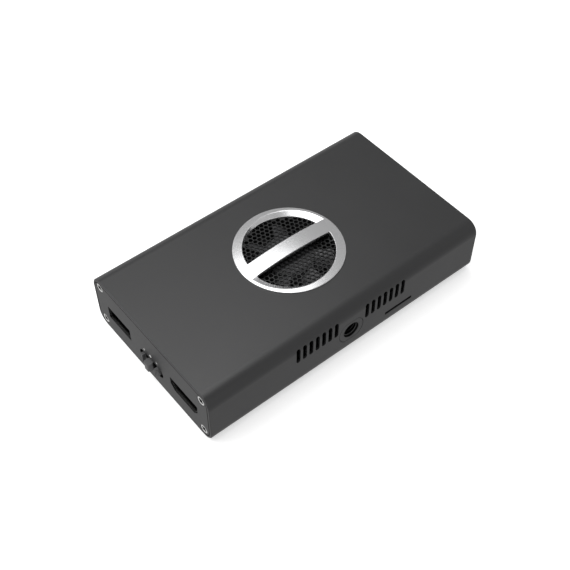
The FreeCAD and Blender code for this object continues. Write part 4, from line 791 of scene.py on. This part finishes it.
def paint_pocket_shade(made, centre, radius, reach, near, far, least=0.08):
    """Painted shade: dark nearer than a radius to an upright line through a centre in mm, but only
    where x, either way, lies between near and far."""
    tree = made.node_tree
    place = add(tree, "ShaderNodeTexCoord")
    flat = add(tree, "ShaderNodeVectorMath",
               {"operation": "MULTIPLY_ADD", 1: (1, 1, 0),
                2: (-centre[0] * MM, -centre[1] * MM, 0)}, {0: place.outputs["Object"]})
    away = add(tree, "ShaderNodeVectorMath", {"operation": "LENGTH"}, {0: flat.outputs[0]})
    factor = add(tree, "ShaderNodeMapRange",
                 {"From Min": (radius - reach) * MM, "From Max": radius * MM,
                  "To Min": least, "To Max": 1.0}, {"Value": away.outputs["Value"]}).outputs[0]
    parts = add(tree, "ShaderNodeSeparateXYZ", {}, {0: place.outputs["Object"]})
    out = add(tree, "ShaderNodeMath", {"operation": "ABSOLUTE"}, {0: parts.outputs[0]})
    for limit, way in ((near, -1), (far, 1)):
        past = add(tree, "ShaderNodeMapRange",
                   {"From Min": limit * MM, "From Max": (limit + POCKET_EDGE * way) * MM},
                   {"Value": out.outputs[0]})
        factor = add(tree, "ShaderNodeMath", {"operation": "MAXIMUM"},
                     {0: factor, 1: past.outputs[0]}).outputs[0]
    return scale_colour(made, factor)


# %% Plate faces and drives
DRIVE_SKIN = 0.06           # depth under the screw's rim at which its drive starts to darken, mm
DRIVE_SHADE = 0.12          # and how much deeper it is dark
end_faces = {name: max(abs(value) for value in (box_mm(name)[0][1], box_mm(name)[1][1]))
             for name in ("front_plate", "rear_plate")}
# Painted shade in the screws' drives, from just under the rim inwards.
paint_shade_inside(drive_steel, 1, end_faces["front_plate"] - SCREW_SINK - DRIVE_SKIN, DRIVE_SHADE,
              0.03)
print("plate faces at", end_faces)

# %% The bush's thread
# The bush gets painted shade in its hole: the crest of the thread's first turn stays lit, where
# it catches light, and the groove before it is dark, so here the fall-off follows the radius from
# the hole's axis as well as the depth. Each pair holds the value at which the bush is dark and the
# one at which it is lit, in mm.
FACE_LIT = (0.2, 0.08)      # below the face
CREST_LIT = (0.25, 0.1)     # beyond the crests' radius
TURN_LIT = (2.0, 1.5)       # below the face, for the crests
BUSH_LEAST = 0.05

tree = insert_metal.node_tree
middle = (bush_low[2] + bush_high[2]) / 2
place = add(tree, "ShaderNodeTexCoord")
centred = add(tree, "ShaderNodeVectorMath", {"operation": "SUBTRACT", 1: (0, 0, middle * MM)},
              {0: place.outputs["Object"]})
parts = add(tree, "ShaderNodeSeparateXYZ", {}, {0: centred.outputs[0]})
across = add(tree, "ShaderNodeVectorMath", {"operation": "MULTIPLY", 1: (0, 1, 1)},
             {0: centred.outputs[0]})
radius = add(tree, "ShaderNodeVectorMath", {"operation": "LENGTH"}, {0: across.outputs[0]})
outside = add(tree, "ShaderNodeMapRange",
              {"From Min": (bush_high[0] - FACE_LIT[0]) * MM,
               "From Max": (bush_high[0] - FACE_LIT[1]) * MM},
              {"Value": parts.outputs[0]})
crest = add(tree, "ShaderNodeMapRange",
            {"From Min": (THREAD_CORE + CREST_LIT[0]) * MM,
             "From Max": (THREAD_CORE + CREST_LIT[1]) * MM},
            {"Value": radius.outputs["Value"]})
first_turn = add(tree, "ShaderNodeMapRange",
                 {"From Min": (bush_high[0] - TURN_LIT[0]) * MM,
                  "From Max": (bush_high[0] - TURN_LIT[1]) * MM},
                 {"Value": parts.outputs[0]})
lit = add(tree, "ShaderNodeMath", {"operation": "MULTIPLY"},
          {0: crest.outputs[0], 1: first_turn.outputs[0]})
either = add(tree, "ShaderNodeMath", {"operation": "MAXIMUM"},
             {0: lit.outputs[0], 1: outside.outputs[0]})
factor = add(tree, "ShaderNodeMapRange", {"To Min": BUSH_LEAST, "To Max": 1.0},
             {"Value": either.outputs[0]})
scale_colour(insert_metal, factor.outputs[0])
print("the bush's axis is at height", middle)

# %% [markdown]
# ## A finish for every node
# The record names a material slot for each node, and most nodes take the finish of their slot. A
# few need one of their own: the parts that are open to the outside get painted shade inwards, each
# from its own face, and the fan is paler than other plastic, partly painted light. One finish with
# a mask for each part would also do, but separate ones stay easy to read and to change.

# %% Nodes with a finish of their own
PLATE_SKIN = 0.12           # a plate keeps its colour to this depth in its openings, mm
PLATE_SHADE = 0.4           # and is dark this much deeper
LEVER_COLOUR = "#545455"    # paler than the case: a painted highlight for the light its fine ribs catch
LEVER_SHADE = 0.6
LEVER_AXIS = (0, -48.57)    # x and y of the upright line that the lever turns about
SCOOP_RADIUS = 10.65        # the scoops' walls get painted shade where they are nearer to it than this
SCOOP_SHADE = 0.3
SCOOP_SIDES = (1.3, 3.3)    # the scoops lie between these, on both sides of the nose
SHELL_SKIN, SHELL_SHADE = 0.25, 0.9     # the same two depths for the sockets' steel
BODY_SKIN, BODY_SHADE = 1.2, 0.6        # and for the plastic in them

# Painted shade: the tube darkens inside, the lever behind the plate's face and in its scoops.
NODE_FINISHES = {
    "housing_tube": paint_shade_under_skin(anodised("tube")),
    "fan_rotor": fan_nylon,
    "menu_lever": paint_pocket_shade(
        paint_shade_inside(anodised("lever", LEVER_COLOUR), 1, end_faces["front_plate"],
                      LEVER_SHADE, 0.03),
        LEVER_AXIS, SCOOP_RADIUS, SCOOP_SHADE, *SCOOP_SIDES),
}
# Painted shade: each plate darkens inside its openings and next to the seam round its edge.
for name, face in end_faces.items():
    NODE_FINISHES[name] = paint_seam_shade(
        paint_shade_inside(anodised(name), 1, face - PLATE_SKIN, PLATE_SHADE))
# The front sockets' shells are a darker copy of the rear ones' steel: painted shade, as only a
# faint rim of them catches light. They also darken going in.
for name in ("usb_shell", "hdmi_shell"):
    steel = grain(finish("plated_steel_of_" + name, "#8f8f8e", 0.3, 1.0), size=0.5, depth=0.003,
                  stretch=(1, 0.15, 1))
    NODE_FINISHES[name] = paint_shade_inside(steel, 1, end_faces["front_plate"] - SHELL_SKIN,
                                        SHELL_SHADE)
# Painted shade: the socket bodies darken going in.
for name, colour in (("usb_insulator", "#9a9a9a"), ("hdmi_insulator", "#1a1a1b")):
    body = grain(finish("moulded_body_of_" + name, colour, 0.5), size=0.5, depth=0.01)
    NODE_FINISHES[name] = paint_shade_inside(body, 1, end_faces["front_plate"] - BODY_SKIN,
                                        BODY_SHADE)
print("nodes with their own finish:", sorted(NODE_FINISHES))

# %% Slots and their finishes
FINISHES = {
    "anodised_case": anodised_case, "satin_bezel": satin_bezel, "black_grille": black_grille,
    "plated_screw": plated_screw, "insert_metal": insert_metal, "black_plastic": black_plastic,
    "grey_plastic": grey_plastic, "white_plastic": white_plastic,
    "circuit_board": circuit_board, "chip_plastic": chip_plastic,
    "thermal_silicone": thermal_silicone, "sink_aluminium": sink_aluminium,
    "socket_steel": socket_steel, "contact_gold": contact_gold, "shaft_steel": shaft_steel,
    "bearing_bronze": bearing_bronze, "magnet_rubber": magnet_rubber,
    "coil_copper": coil_copper, "clear_guide": clear_guide, "led_white": led_white,
    "can_aluminium": can_aluminium,
}

for subpart in frame["record"]["subparts"]:
    mesh = nodes[subpart["node"]].data
    mesh.materials.clear()
    mesh.materials.append(NODE_FINISHES.get(subpart["node"],
                                            FINISHES[subpart["material_slot"]]))

# %% [markdown]
# ## The new pieces
# Now that the finishes are there, the surfaces become pieces. Each one rides on the housing and
# hides the solid that it stands for. The marks stand for none.

# %% Make the new pieces
surface("bezel_turned_ring", [ring_grid()], satin_bezel, ["bezel_ring"])
surface("bezel_arched_bar", [bar_grid()], satin_bar, ["bezel_ring"])
for end in ("front", "rear"):
    surface(end + "_lobed_screws", plate_screws(end + "_screws"), drive_steel,
            [end + "_screws"])
surface("tripod_threaded_bush", [bush_grid()], insert_metal, ["tripod_insert"])
surface("lever_marks", [mark_grid(-MARK_SPREAD, 3, np.pi), mark_grid(0.0, 12, 0.0),
                        mark_grid(MARK_SPREAD, 3, 0.0)], printed_ink)

# %% [markdown]
# ## Finish
# The scene's colours are shown through the Standard view transform.

# %% Finish the scene
bpy.context.scene.view_settings.view_transform = "Standard"
